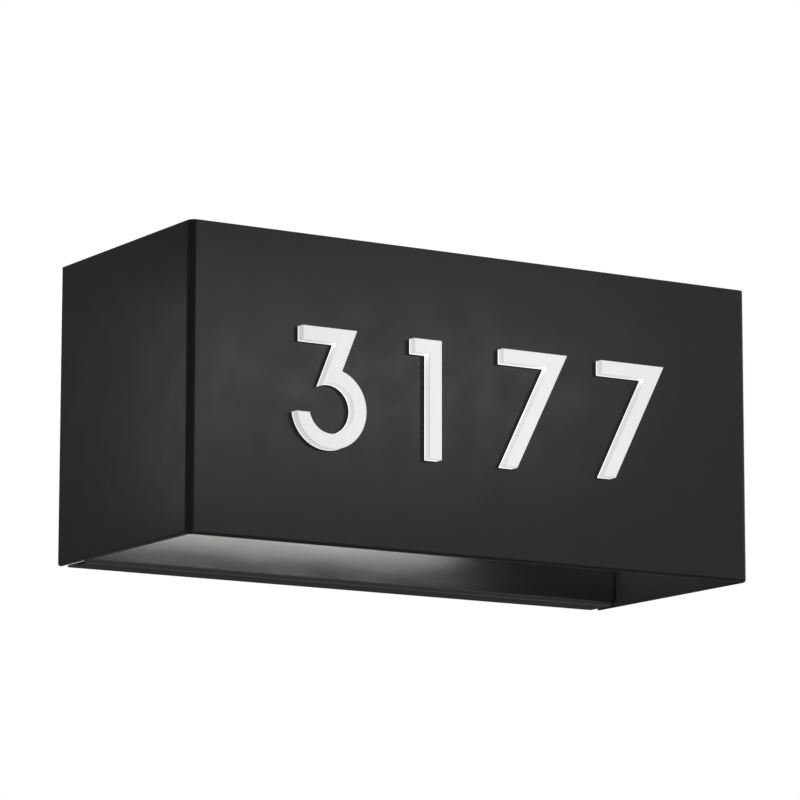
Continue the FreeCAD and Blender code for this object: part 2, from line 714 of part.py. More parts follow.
def holder_body():
    """Glazed porcelain lampholder, mouth down."""
    top, mouth = HOLDER_TOP, HOLDER_MOUTH
    profile = [(0, top), (NECK_R, top, 1.5), (NECK_R, top - NECK_L, 3.0), (HOLDER_R, top - 21.0, 4.0),
               (HOLDER_R, mouth + 6.0, 1.0), (HOLDER_BEAD_R, mouth + 4.5, 1.0), (HOLDER_BEAD_R, mouth, 1.2),
               (BORE_R, mouth, 0.6), (BORE_R, BORE_TOP), (0, BORE_TOP)]
    screw_depth = 9.0
    lead_hole_r = LEAD_D / 2 + 0.15
    cuts = []
    for side in BOTH_SIDES:
        screw_x, lead_x = side * HOLDER_SCREW_X, side * LEAD_X
        cuts.append(rod(M4_R, (screw_x, LAMP_Y, top - screw_depth), (screw_x, LAMP_Y, top)))
        cuts.append(rod(lead_hole_r, (lead_x, NECK_LEAD_Y, LEAD_Z), (lead_x, LAMP_Y + NECK_R, LEAD_Z)))
    return turned(profile, 0, LAMP_Y).cut(cuts)


def holder_shell():
    """Threaded brass shell, closed at the top round the contact's hole."""
    low = HOLDER_MOUTH + 2.5
    floor = BORE_TOP - SHELL_FLOOR
    profile = [(CONTACT_HOLE_R, BORE_TOP), (SHELL_OUTER_R, BORE_TOP), (SHELL_OUTER_R, low),
               (SHELL_INNER_R, low), (SHELL_INNER_R, floor), (CONTACT_HOLE_R, floor)]
    return turned(profile, 0, LAMP_Y)


def holder_contact():
    """Springy centre contact: a foot on the bore's roof and a tongue that bends down to the tip."""
    foot = BORE_TOP - CONTACT_T
    tongue = TIP_TOP + CONTACT_T
    curl = 0.5
    corners = [(-4.0, BORE_TOP), (4.0, BORE_TOP), (4.0, foot), (-2.6, foot), (0.6, tongue),
               (3.0, tongue + curl), (3.0, TIP_TOP + curl), (0.6, TIP_TOP), (-0.4, TIP_TOP), (-4.0, foot)]
    points = [Vector(x, LAMP_Y - CONTACT_W / 2, z) for x, z in corners]
    return prism(polygon(points), Vector(0, CONTACT_W, 0))


def holder_screws():
    """Two slotted screws from above, through the arm into the porcelain."""
    head_r = 3.8
    head_top = ARM_TOP + 2.4
    end = ARM_TOP - 10.0
    slot_half = 0.5
    screws = []
    for x in (-HOLDER_SCREW_X, HOLDER_SCREW_X):
        profile = [(0, end), (M4_R, end, 0.4), (M4_R, ARM_TOP), (head_r, ARM_TOP), (head_r, head_top, 1.6),
                   (0, head_top)]
        slot = box(x - head_r, x + head_r, LAMP_Y - slot_half, LAMP_Y + slot_half, head_top - 1.2, head_top)
        screws.append(turned(profile, x, LAMP_Y).cut(slot))
    return group(screws)


def pan_grommet():
    """Rubber bush in the hole that the bracket's leg and the pan share."""
    front = LEG_FACE - GROMMET_LIP_T
    back = PAN_INNER + GROMMET_LIP_T
    at = [(0, y, GROMMET_Z) for y in (front, LEG_FACE, PAN_INNER, back)]
    body = joined([rod(GROMMET_HOLE_R, at[1], at[2]), rod(GROMMET_LIP_R, at[0], at[1]),
                   rod(GROMMET_LIP_R, at[2], at[3])])
    return body.cut(rod(GROMMET_BORE_R, at[0], at[3]))


# ---- Leads and wire connectors --------------------------------------------------------------

def lamp_lead(side):
    """Lead from the lampholder's neck, through the grommet, down to its wire connector."""
    bush_x = side * 2.2
    in_cap = CONNECTOR_TOP - 8.0
    route = [(side * LEAD_X, NECK_LEAD_Y, LEAD_Z), (side * LEAD_X, -68.0, LEAD_Z),
             (bush_x, -46.0, GROMMET_Z), (bush_x, -20.0, GROMMET_Z),
             (side * 9.0, CONNECTOR_Y, GROMMET_Z - 8.0),
             (side * CONNECTOR_X, CONNECTOR_Y, CONNECTOR_TOP + 12.0),
             (side * CONNECTOR_X, CONNECTOR_Y, in_cap)]
    return wire_tube(route, LEAD_D)


def wire_connectors():
    """Twist-on connectors, open end up, that join the lamp's leads to the house wiring."""
    top, low = CONNECTOR_TOP, CONNECTOR_TOP - CONNECTOR_L
    bore_floor = top - 9.0
    profile = [(0, low), (4.0, low, 1.2), (5.6, top - 7.0, 0.5), (6.8, top - 6.0, 0.5), (6.8, top, 0.4),
               (5.2, top), (4.0, bore_floor), (0, bore_floor)]
    return group([turned(profile, side * CONNECTOR_X, CONNECTOR_Y) for side in BOTH_SIDES])


# ---- LED bulb -------------------------------------------------------------------------------

def bulb_cap():
    """Screw shell of the bulb."""
    profile = [(0, CAP_LOW), (CAP_R, CAP_LOW), (CAP_R, CAP_TOP - 1.0, 2.0), (CAP_NOSE_R, CAP_TOP),
               (0, CAP_TOP)]
    return turned(profile, 0, LAMP_Y)


def bulb_insulator():
    """Black glass between the cap and its tip."""
    end = TIP_TOP - TIP_STUB
    profile = [(0, CAP_TOP), (CAP_NOSE_R, CAP_TOP), (5.4, end), (0, end)]
    return turned(profile, 0, LAMP_Y)


def bulb_tip():
    low = TIP_TOP - TIP_STUB
    profile = [(0, low), (4.8, low), (4.2, TIP_TOP, 0.8), (0, TIP_TOP)]
    return turned(profile, 0, LAMP_Y)


def bulb_collar():
    """Moulded housing that flares from the cap to the globe, hollow under the board."""
    neck_low = CAP_LOW - 5.0
    board_top = COLLAR_LOW + BOARD_RISE
    profile = [(0, CAP_LOW), (CAP_R, CAP_LOW), (CAP_R, neck_low, 3.0), (16.5, neck_low - 3.5, 8.0),
               (23.2, board_top + 1.0, 30.0), (GLOBE_RIM_R, COLLAR_LOW),
               (GLOBE_RIM_R - COLLAR_WALL, COLLAR_LOW), (BOARD_R + 0.7, board_top), (0, board_top)]
    return turned(profile, 0, LAMP_Y)


def bulb_globe():
    """Opal diffuser shell."""
    shoulder = COLLAR_LOW - 3.0
    inner_r = BULB_R - GLOBE_WALL
    inner_low = BULB_LOW + GLOBE_WALL
    profile = [(GLOBE_RIM_R, COLLAR_LOW), (BULB_R, shoulder, 8.0), (BULB_R, BULB_LOW, BULB_R),
               (0, BULB_LOW), (0, inner_low), (inner_r, inner_low, inner_r), (inner_r, shoulder),
               (GLOBE_RIM_R - GLOBE_WALL, COLLAR_LOW)]
    return turned(profile, 0, LAMP_Y)


def bulb_led_plate():
    """Round board with a ring of emitters, inside the globe."""
    face = COLLAR_LOW + BOARD_RISE - BOARD_T
    half = EMITTER_W / 2
    plate = rod(BOARD_R, (0, LAMP_Y, face), (0, LAMP_Y, face + BOARD_T))
    emitters = []
    for turn in range(EMITTER_COUNT):
        angle = 2 * math.pi * turn / EMITTER_COUNT
        x = EMITTER_RING_R * math.cos(angle)
        y = LAMP_Y + EMITTER_RING_R * math.sin(angle)
        emitters.append(box(x - half, x + half, y - half, y + half, face - EMITTER_T, face))
    return joined([plate] + emitters)


# ---- The whole sign -------------------------------------------------------------------------

def nodes():
    """Every named piece of the sign."""
    outlines = placed_outlines()
    parts = {name: numeral(outline) for name, outline in outlines.items()}
    parts["hood_wrap"] = hood_wrap(outlines)
    for maker in (hood_top, top_weld_beads, numeral_backer, backer_studs, backer_washers, backer_nuts,
                  back_pan, clinch_nuts, hood_screws, mounting_strap, fixture_studs, strap_lock_nuts,
                  sealing_washers, cap_nuts, strap_ground_screw, ground_stud, ground_nut, ring_terminals,
                  ground_lead, lamp_bracket, bracket_rivets, holder_body, holder_shell, holder_contact,
                  holder_screws, pan_grommet, wire_connectors, bulb_cap, bulb_insulator, bulb_tip,
                  bulb_collar, bulb_globe, bulb_led_plate):
        parts[maker.__name__] = maker()
    parts["lead_black"] = lamp_lead(-1)
    parts["lead_white"] = lamp_lead(1)
    return parts


def main():
    os.makedirs("parts", exist_ok=True)
    for name, shape in nodes().items():
        print(f"{name:22s} solids {len(shape.Solids):2d} valid {shape.isValid()} volume {shape.Volume:12.1f}")
        shape.exportStep(f"parts/{name}.step")


main()
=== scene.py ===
"""Looks of an illuminated house number sign, laid out as an add-on.

The sign is a black sheet-metal hood, open at the bottom, over a wall pan that carries a screw-in lamp.
White acrylic numerals stand proud of the hood's front. X runs along the sign, +Y into the wall, +Z up.
"""

import json
import math
from functools import partialmethod
from types import SimpleNamespace

import bpy
from bpy.props import FloatProperty, FloatVectorProperty, IntProperty, PointerProperty
from bpy.types import Operator, Panel, PropertyGroup
from mathutils import Matrix, Vector

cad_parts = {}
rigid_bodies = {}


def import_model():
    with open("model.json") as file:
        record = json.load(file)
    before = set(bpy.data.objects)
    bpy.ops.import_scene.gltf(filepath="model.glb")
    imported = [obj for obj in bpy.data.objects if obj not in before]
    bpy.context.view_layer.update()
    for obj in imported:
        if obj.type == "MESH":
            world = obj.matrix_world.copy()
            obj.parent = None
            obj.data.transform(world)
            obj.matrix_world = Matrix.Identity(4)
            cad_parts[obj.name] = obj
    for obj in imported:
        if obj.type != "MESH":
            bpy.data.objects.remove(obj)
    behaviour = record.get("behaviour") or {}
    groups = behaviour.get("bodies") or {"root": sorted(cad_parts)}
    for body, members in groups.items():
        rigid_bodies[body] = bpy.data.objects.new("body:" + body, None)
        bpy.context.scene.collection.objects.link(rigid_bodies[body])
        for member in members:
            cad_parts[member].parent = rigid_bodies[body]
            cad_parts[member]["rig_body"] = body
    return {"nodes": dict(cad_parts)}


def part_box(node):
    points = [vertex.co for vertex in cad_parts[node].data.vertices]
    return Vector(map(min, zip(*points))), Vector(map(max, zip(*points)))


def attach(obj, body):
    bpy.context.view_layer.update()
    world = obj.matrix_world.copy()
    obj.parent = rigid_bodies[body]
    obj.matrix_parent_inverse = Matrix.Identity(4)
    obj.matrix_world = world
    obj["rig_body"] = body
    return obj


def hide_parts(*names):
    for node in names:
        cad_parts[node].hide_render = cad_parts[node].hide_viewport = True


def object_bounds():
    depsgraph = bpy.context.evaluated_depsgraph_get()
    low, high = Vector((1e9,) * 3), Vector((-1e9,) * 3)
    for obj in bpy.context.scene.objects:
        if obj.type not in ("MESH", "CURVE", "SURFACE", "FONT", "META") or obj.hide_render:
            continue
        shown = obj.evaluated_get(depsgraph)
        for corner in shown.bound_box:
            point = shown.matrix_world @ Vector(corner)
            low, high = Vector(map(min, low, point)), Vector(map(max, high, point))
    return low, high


bl_info = {
    "name": "House Number Sign Looks",
    "version": (1, 0, 0),
    "blender": (4, 5, 0),
    "location": "3D View > Sidebar > Number Sign",
    "description": "Finishes, threads, fasteners and studio for an illuminated house number sign",
    "category": "Object",
}

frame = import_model()
CAD_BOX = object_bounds()

MM = 0.001
BLACK = (0.0, 0.0, 0.0)
WHITE = (1.0, 1.0, 1.0, 1.0)
ROWS_A_TURN = 12.0          # points along one turn of a thread
SAME_POINT = 0.002 * MM     # points this near are one
FINISH_NAME = "finish_{}"                   # the frame brings materials that have the bare names
TO_WALL = (math.radians(-90), 0.0, 0.0)     # turns +Z to +Y
FROM_WALL = (math.radians(90), 0.0, 0.0)    # turns +Z to -Y


def mm(**sizes):
    """Sizes in millimetres, turned into metres."""
    return {name: size * MM for name, size in sizes.items()}


# Standard parts. A thread's crest, root and nose are radii, and so is a nut's bore.
M4_THREAD = {**mm(Crest=2.0, Root=1.6, Nose=1.5, Lead_In=0.6), "Flat": 0.15}
M5_THREAD = {**mm(Crest=2.5, Root=2.02, Nose=1.9, Lead_In=0.7), "Flat": 0.15}
BLUNT_THREAD = {**M5_THREAD, "Nose": M5_THREAD["Crest"]}
M4_NUT = mm(Across_Flats=7.0, Height=3.2, Bore=2.03)
M5_NUT = mm(Across_Flats=8.0, Bore=2.53)

# Stage, in metres and degrees
CAMERA_PLACE = (-1.4904, -2.4951, -0.4870)
LIGHTS = {  # place, point aimed at (none for the sign's middle), width and height
    "strip": ((0.535, -2.118, 0.393), (-0.05, -0.18, 0.0), 1.485, 0.069),
    "edge": ((-0.709, 0.661, 0.148), (-0.215, -0.12, 0.0), 0.053, 0.183),
    "fill": ((2.4, -2.2, 0.6), None, 2.0, 2.0),
    "low": ((0.2, -2.0, -1.6), None, 1.2, 1.2),
    "top": ((0.0, -0.6, 2.4), None, 1.6, 1.6),
}
# Grey screens that only reflections see: painted reflections on the hood's side, bend and underside
SCREENS = {"front_screen": (-85, 5), "side_screen": (-175, -85), "back_screen": (115, 185)}    # bearings


# ---- Settings ----

class CoatSettings(PropertyGroup):
    """Powder coat of the hood, the pan and the lamp bracket."""

    colour: FloatVectorProperty(
        name="Coat Colour", description="Black of the powder coat", subtype="COLOR",
        default=(0.0145, 0.0145, 0.0148), min=0.0, max=1.0)
    roughness: FloatProperty(
        name="Coat Roughness", description="Satin of the hood", subtype="FACTOR",
        default=0.215, min=0.05, max=1.0)
    sheen: FloatProperty(
        name="Coat Sheen", description="Strength of the hood's reflections", subtype="FACTOR",
        default=0.11, min=0.0, max=1.0)
    pan_colour: FloatVectorProperty(
        name="Pan Colour", description="Black of the pan and of the bracket", subtype="COLOR",
        default=(0.006, 0.006, 0.0062), min=0.0, max=1.0)
    pan_roughness: FloatProperty(
        name="Pan Roughness", description="Satin of the pan and of the bracket", subtype="FACTOR",
        default=0.22, min=0.05, max=1.0)
    pan_sheen: FloatProperty(
        name="Pan Sheen", description="Strength of the pan's reflections", subtype="FACTOR",
        default=0.70, min=0.0, max=1.0)
    grain: FloatProperty(
        name="Coat Grain", description="Width of one bump of the coat's fine texture", unit="LENGTH",
        default=0.9 * MM, min=0.1 * MM)
    grain_height: FloatProperty(
        name="Grain Height", description="Height of the coat's fine texture", unit="LENGTH",
        default=0.012 * MM, min=0.0, precision=6)


class GlowSettings(PropertyGroup):
    """Light of the lamp, and painted light of the backer plate and the numerals, which glow in its place."""

    # Painted light: the numerals' and the backer plate's glow below is emission, not light from the lamp
    numeral_glow: FloatProperty(
        name="Numeral Glow", description="Light that a numeral gives next to the lamp", default=0.27, min=0.0)
    side_glow: FloatProperty(
        name="Side Glow", description="Light that the sides of a numeral give next to the lamp",
        default=0.62, min=0.0)
    seam_glow: FloatProperty(
        name="Seam Glow", description="Further light where a numeral leaves the sheet", default=0.9, min=0.0)
    backer_glow: FloatProperty(
        name="Backer Glow", description="Light that the plate behind the numerals sends back into the hood",
        default=9.0, min=0.1)
    glow_reach: FloatProperty(
        name="Glow Reach", description="Distance from the lamp at which the numerals' glow has halved",
        unit="LENGTH", default=0.26, min=0.02)
    lamp_glow: FloatProperty(
        name="Lamp Glow", description="Light that the bulb's globe gives", default=8.0, min=0.0)
    lamp_colour: FloatVectorProperty(
        name="Lamp Colour", description="Colour of the lamp's light", subtype="COLOR",
        default=(1.0, 0.985, 0.96), min=0.0, max=1.0)


class ThreadSettings(PropertyGroup):
    """Screw threads, nuts, washers and welds."""

    m4_pitch: FloatProperty(
        name="M4 Pitch", description="Pitch of the 4 mm threads", unit="LENGTH",
        default=0.7 * MM, min=0.2 * MM, precision=5)
    m5_pitch: FloatProperty(
        name="M5 Pitch", description="Pitch of the 5 mm threads", unit="LENGTH",
        default=0.8 * MM, min=0.2 * MM, precision=5)
    cap_pitch: FloatProperty(
        name="Cap Pitch", description="Pitch of the bulb's medium screw cap", unit="LENGTH",
        default=3.629 * MM, min=1 * MM, precision=5)
    around: IntProperty(
        name="Thread Sides", description="Sides of a small thread, seen from its end",
        default=20, min=8, max=96)
    weld_step: FloatProperty(
        name="Weld Step", description="Distance between the ripples of a weld", unit="LENGTH",
        default=1.3 * MM, min=0.5 * MM, precision=5)


class StudioSettings(PropertyGroup):
    """Floor, lights and camera."""

    strip_power: FloatProperty(
        name="Strip Light", description="Long low light mirrored across the front of the hood",
        unit="POWER", default=5.8, min=0.0)
    edge_power: FloatProperty(
        name="Edge Light", description="Small light behind, mirrored in the left side of the hood",
        unit="POWER", default=0.094, min=0.0, precision=3)
    fill_power: FloatProperty(
        name="Fill Light", description="Large soft box on the right", unit="POWER", default=6.0, min=0.0)
    low_power: FloatProperty(
        name="Low Light", description="Soft box below the camera", unit="POWER", default=9.0, min=0.0)
    top_power: FloatProperty(
        name="Top Light", description="Soft box above the sign", unit="POWER", default=14.0, min=0.0)
    ambient: FloatProperty(
        name="Ambient", description="Even light from all round", default=0.35, min=0.0, max=1.0)
    # The screens below are painted reflections: grey sheets seen only in the hood's reflections
    screen_distance: FloatProperty(
        name="Screen Distance", description="Distance of the grey screens that the hood mirrors",
        unit="LENGTH", default=4.0, min=0.5)
    side_screen: FloatProperty(
        name="Side Screen", description="Grey that the left side of the hood mirrors", subtype="FACTOR",
        default=0.31, min=0.0, max=1.0)
    front_screen: FloatProperty(
        name="Front Screen", description="Grey that the left bend of the hood mirrors", subtype="FACTOR",
        default=0.15, min=0.0, max=1.0)
    back_screen: FloatProperty(
        name="Back Screen", description="Grey that the underside of the sign mirrors", subtype="FACTOR",
        default=0.05, min=0.0, max=1.0)
    floor_drop: FloatProperty(
        name="Floor Drop", description="Height of the sign above the floor", unit="LENGTH",
        default=3.2, min=0.2)
    camera_yaw: FloatProperty(
        name="Camera Yaw", description="Turn of the view from square on towards the sign's right end",
        subtype="ANGLE", default=math.radians(31.671))
    camera_pitch: FloatProperty(
        name="Camera Pitch", description="Upward tilt of the view", subtype="ANGLE",
        default=math.radians(10.109))
    camera_roll: FloatProperty(
        name="Camera Roll", description="Turn of the picture about the view", subtype="ANGLE",
        default=math.radians(0.067))
    focal_length: FloatProperty(
        name="Focal Length", description="Focal length on a 36 mm wide picture, in millimetres",
        default=193.6, min=10.0)


# ---- Node trees ----

class Tree:
    """Short calls that add nodes and links to a node tree."""

    def __init__(self, tree):
        self.tree = tree

    def fill(self, node, inputs):
        """Sets inputs by name or number. A socket is linked, and anything else is a value."""
        for key, value in dict(inputs).items():
            if isinstance(value, bpy.types.NodeSocket):
                self.tree.links.new(value, node.inputs[key])
            else:
                node.inputs[key].default_value = value

    def node(self, kind, inputs=(), **settings):
        node = self.tree.nodes.new(kind)
        for name, value in settings.items():
            setattr(node, name, value)
        self.fill(node, inputs)
        return node

    def calc(self, operation, *values):
        return self.node("ShaderNodeMath", enumerate(values), operation=operation).outputs[0]

    plus = partialmethod(calc, "ADD")
    minus = partialmethod(calc, "SUBTRACT")
    times = partialmethod(calc, "MULTIPLY")
    over = partialmethod(calc, "DIVIDE")
    least = partialmethod(calc, "MINIMUM")
    most = partialmethod(calc, "MAXIMUM")
    above = partialmethod(calc, "GREATER_THAN")

    def axes(self, vector):
        """X, Y and Z of a vector."""
        return self.node("ShaderNodeSeparateXYZ", {0: vector}).outputs

    def spread(self, value, low, high, to_low=0.0, to_high=1.0, smooth=False):
        """Maps a value from one range to another, and holds it at the ends."""
        inputs = {"Value": value, "From Min": low, "From Max": high, "To Min": to_low, "To Max": to_high}
        kind = "SMOOTHSTEP" if smooth else "LINEAR"
        return self.node("ShaderNodeMapRange", inputs, interpolation_type=kind).outputs["Result"]


class Finish(Tree):
    """A material's tree around one principled shader."""

    def __init__(self, name, colour, roughness, metallic=0.0, **fixed):
        self.material = bpy.data.materials.new(FINISH_NAME.format(name))
        self.material.use_nodes = True
        super().__init__(self.material.node_tree)
        self.shader = self.tree.nodes["Principled BSDF"]
        self.place = self.node("ShaderNodeTexCoord").outputs["Object"]
        self.colour = colour
        self.material.diffuse_color = (*colour, 1.0)
        self.dress(Roughness=roughness, Metallic=metallic, **{"Base Color": (*colour, 1.0)}, **fixed)

    def dress(self, **inputs):
        """Sets inputs of the shader."""
        self.fill(self.shader, inputs)

    def noise(self, size, detail=2.0, scale=(1.0, 1.0, 1.0)):
        """Noise whose blotches are about a given size across, in metres, over a scale along each axis."""
        place = self.node("ShaderNodeMapping", {"Vector": self.place, "Scale": scale}).outputs[0]
        inputs = {"Vector": place, "Scale": 1.0 / size, "Detail": detail}
        return self.node("ShaderNodeTexNoise", inputs).outputs[0]

    def specks(self, spacing, size, share, colour):
        """Scattered round specks, with sizes in millimetres. Share is the part of the cells that has one."""
        cells = self.node("ShaderNodeTexVoronoi", {"Vector": self.place, "Scale": 1.0 / (spacing * MM)})
        near = self.spread(cells.outputs["Distance"], 0.5 * size / spacing, size / spacing, 1.0, 0.0, True)
        pick = self.node("ShaderNodeSeparateColor", {"Color": cells.outputs["Color"]}).outputs[0]
        self.tint(self.times(near, self.calc("LESS_THAN", pick, share)), colour)

    def mix(self, name, factor, start, end):
        """Gives the shader a colour that runs from one to another."""
        mixed = self.node("ShaderNodeMix", {0: factor, 6: start, 7: (*end, 1.0)}, data_type="RGBA")
        self.dress(**{name: mixed.outputs[2]})

    def tint(self, factor, colour):
        """Mixes another colour over what the base colour has so far."""
        base = self.shader.inputs["Base Color"]
        before = base.links[0].from_socket if base.is_linked else tuple(base.default_value)
        self.mix("Base Color", factor, before, colour)

    def vary(self, factor, amount):
        """Makes the base colour darker and lighter by a share of itself."""
        darker = [part * (1.0 - amount) for part in self.colour]
        lighter = [min(1.0, part * (1.0 + amount)) for part in self.colour]
        self.tint(self.spread(factor, 0.3, 0.7, 1.0, 0.0), darker)
        self.tint(self.spread(factor, 0.3, 0.7, 0.0, 0.5), lighter)

    def rough(self, factor, low, high):
        self.dress(Roughness=self.spread(factor, 0.3, 0.7, low, high))

    def bump(self, height, depth):
        """Relief of a given depth in metres, laid over what is there already."""
        inputs = {"Height": height, "Distance": depth, "Strength": 1.0}
        normal = self.shader.inputs["Normal"]
        if normal.is_linked:
            inputs["Normal"] = normal.links[0].from_socket
        self.dress(Normal=self.node("ShaderNodeBump", inputs).outputs[0])

    def cloud(self, size, detail, span, strength, colour):
        """Patches of another colour, of a given size in millimetres, where noise lies in a span."""
        self.tint(self.spread(self.noise(size * MM, detail), *span, 0.0, strength), colour)

    def surface(self, mottle, satin, grain):
        """Uneven colour, gloss and relief, with sizes and depths in millimetres.

        Mottle is a size, a detail and a strength, or none; satin a size, a detail and the least and the most
        roughness; grain a size, a detail and a depth.
        """
        if mottle:
            size, detail, strength = mottle
            self.vary(self.noise(size * MM, detail), strength)
        size, detail, low, high = satin
        self.rough(self.noise(size * MM, detail), low, high)
        size, detail, depth = grain
        self.bump(self.noise(size * MM, detail), depth * MM)
        return self.material

    def light(self, factor, start, end, strength):
        """Emission that runs from one colour to another."""
        self.mix("Emission Color", factor, (*start, 1.0), end)
        self.dress(**{"Emission Strength": strength})


# ---- Materials ----

def powder_coat(settings):
    """Fine satin black of the hood's outside and inside, with a few pale specks."""
    satin = settings.roughness
    coat = Finish("powder_coat", settings.colour, satin, **{"Specular IOR Level": settings.sheen})
    coat.vary(coat.noise(45 * MM, 3.0), 0.10)
    coat.specks(7, 0.14, 0.35, (0.09, 0.09, 0.09))
    coat.rough(coat.noise(25 * MM, 4.0), satin - 0.03, satin + 0.03)
    coat.bump(coat.noise(settings.grain), settings.grain_height)
    return coat.material


def pan_coat(settings):
    """The pan's coat, with a little dust and a wiped sheen."""
    satin = settings.pan_roughness
    coat = Finish("pan_coat", settings.pan_colour, satin, **{"Specular IOR Level": settings.pan_sheen})
    coat.vary(coat.noise(30 * MM, 3.0), 0.12)
    coat.specks(9, 0.30, 0.4, (0.12, 0.12, 0.115))
    coat.specks(4, 0.16, 0.25, (0.07, 0.07, 0.07))
    coat.rough(coat.noise(12 * MM, 3.0, (0.25, 1.0, 1.0)), satin - 0.03, satin + 0.04)
    coat.bump(coat.noise(settings.grain), settings.grain_height)
    return coat.material


def opal_acrylic(glow):
    """Opal white acrylic, satin and faintly mottled, with painted light for the lamp's light from behind.

    The painted glow fades away from the lamp. Along Y it grows from a numeral's face to its sides, grows
    again where the numeral leaves the sheet, and is strongest on the plate behind the numerals.
    """
    acrylic = Finish("opal_acrylic", (0.90, 0.90, 0.895), 0.38, **{"IOR": 1.49})
    acrylic.surface((14, 2, 0.015), (6, 3, 0.34, 0.44), (0.5, 2, 0.003))
    low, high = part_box("bulb_globe")
    ends = {0: acrylic.place, 1: (low + high) / 2}
    offset = acrylic.node("ShaderNodeVectorMath", ends, operation="DISTANCE")
    share = acrylic.over(offset.outputs["Value"], glow.glow_reach)
    painted_falloff = acrylic.over(1.0, acrylic.plus(1.0, acrylic.calc("POWER", share, 2.0)))
    depth = acrylic.axes(acrylic.place)["Y"]
    face, sheet, plate = (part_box(node)[0].y for node in ("numeral_one", "hood_wrap", "numeral_backer"))
    # Painted light: glow of the faces, the sides, the seam and the backer plate, emission in place of the
    # lamp's light
    steps = ((face + 0.1 * MM, face + 1.2 * MM, glow.numeral_glow, glow.side_glow),
             (sheet - 1.0 * MM, sheet, 0.0, glow.seam_glow),
             (plate - 0.3 * MM, plate, 0.0, glow.backer_glow))
    full = glow.backer_glow
    level = 0.0
    for start, end, before, after in steps:
        level = acrylic.plus(level, acrylic.spread(depth, start, end, before / full, after / full, True))
    # Painted light: the acrylic's emission, fading away from the lamp, stands in for the lamp's light through
    # it
    acrylic.light(acrylic.times(painted_falloff, level), BLACK, glow.lamp_colour, full)
    return acrylic.material


def zinc_plate():
    """Bright zinc plate, clouded and faintly brushed."""
    zinc = Finish("zinc_plate", (0.60, 0.61, 0.63), 0.32, 1.0)
    zinc.cloud(6, 2, (0.45, 0.7), 0.35, (0.66, 0.60, 0.48))
    zinc.cloud(3, 2, (0.5, 0.75), 0.3, (0.42, 0.46, 0.52))
    zinc.rough(zinc.noise(1.6 * MM, 4.0, (0.15, 1.0, 1.0)), 0.24, 0.42)
    zinc.bump(zinc.noise(0.35 * MM, 2.0, (0.2, 1.0, 1.0)), 0.006 * MM)
    return zinc.material


def black_oxide():
    return Finish("black_oxide", (0.035, 0.035, 0.037), 0.38, 0.6).surface(
        (2.5, 3, 0.35), (1.5, 3, 0.30, 0.46), (0.3, 2, 0.004))


def green_steel():
    return Finish("green_steel", (0.035, 0.26, 0.09), 0.33, 0.75).surface(
        (1.5, 3, 0.3), (1.0, 3, 0.26, 0.42), (0.3, 2, 0.004))


def brass():
    metal = Finish("brass", (0.74, 0.54, 0.24), 0.26, 1.0)
    metal.cloud(5, 3, (0.5, 0.75), 0.4, (0.48, 0.32, 0.14))
    return metal.surface(None, (2, 3, 0.2, 0.38), (0.4, 2, 0.004))


def cap_nickel():
    metal = Finish("cap_nickel", (0.70, 0.69, 0.66), 0.22, 1.0)
    metal.cloud(4, 2, (0.5, 0.8), 0.3, (0.55, 0.53, 0.49))
    return metal.surface(None, (2, 3, 0.17, 0.32), (0.5, 2, 0.003))


def solder():
    return Finish("solder", (0.58, 0.58, 0.57), 0.38, 1.0).surface(
        (1.5, 3, 0.2), (1.2, 3, 0.3, 0.5), (0.9, 2, 0.03))


def porcelain():
    """White glaze: soft ripples, a few pinholes and a faint warm pooling."""
    glaze = Finish("porcelain", (0.80, 0.79, 0.75), 0.14, **{"Coat Weight": 0.6, "Coat Roughness": 0.06})
    glaze.surface((12, 2, 0.03), (8, 2, 0.11, 0.2), (4.5, 2, 0.05))
    glaze.specks(5, 0.16, 0.25, (0.35, 0.31, 0.26))
    return glaze.material


def moulded_rubber():
    return Finish("moulded_rubber", (0.022, 0.022, 0.023), 0.62).surface(
        (3, 3, 0.25), (2, 3, 0.55, 0.72), (0.25, 2, 0.012))


def wire_jacket(name, colour):
    """Wire insulation: smooth, with the faint waviness of the strands under it."""
    return Finish(name, colour, 0.36).surface((4, 2, 0.06), (2, 3, 0.3, 0.44), (1.1, 1, 0.02))


def connector_plastic():
    return Finish("connector_plastic", (0.70, 0.24, 0.04), 0.42).surface(
        (5, 2, 0.06), (1.5, 3, 0.36, 0.5), (0.3, 2, 0.01))


def bulb_housing():
    return Finish("bulb_housing", (0.82, 0.82, 0.80), 0.34).surface(
        (10, 2, 0.02), (2, 3, 0.3, 0.42), (0.4, 2, 0.006))


def bulb_diffuser(glow):
    """Frosted globe, brightest at its end and dimmer beside the housing."""
    frost = Finish("bulb_diffuser", (0.90, 0.90, 0.88), 0.45)
    frost.surface(None, (1.2, 3, 0.4, 0.52), (0.4, 2, 0.005))
    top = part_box("bulb_globe")[1].z
    height = frost.axes(frost.place)["Z"]
    dimmed = [part * 0.2 for part in glow.lamp_colour]
    shade = frost.spread(height, top - 12 * MM, top, 0.0, 0.45, True)
    frost.light(shade, glow.lamp_colour, dimmed, glow.lamp_glow)
    return frost.material


def black_glass():
    return Finish("black_glass", (0.012, 0.012, 0.016), 0.08, **{"Coat Weight": 0.4}).surface(
        (3, 2, 0.3), (3, 2, 0.05, 0.14), (2.5, 1, 0.03))


def board_mask():
    return Finish("board_mask", (0.80, 0.80, 0.78), 0.4).surface(
        (5, 2, 0.03), (1.5, 2, 0.34, 0.5), (0.3, 1, 0.006))


def pale_floor():
    floor = Finish("pale_floor", (0.80, 0.80, 0.80), 0.7)
    floor.vary(floor.noise(0.5), 0.01)
    return floor.material


LOOKS = {  # what a grown piece wears, by its slot
    "hood_coat": powder_coat, "zinc_steel": zinc_plate, "black_steel": black_oxide, "brass": brass,
    "cap_nickel": cap_nickel, "rubber": moulded_rubber, "connector_shell": connector_plastic,
}


# ---- Geometry trees ----

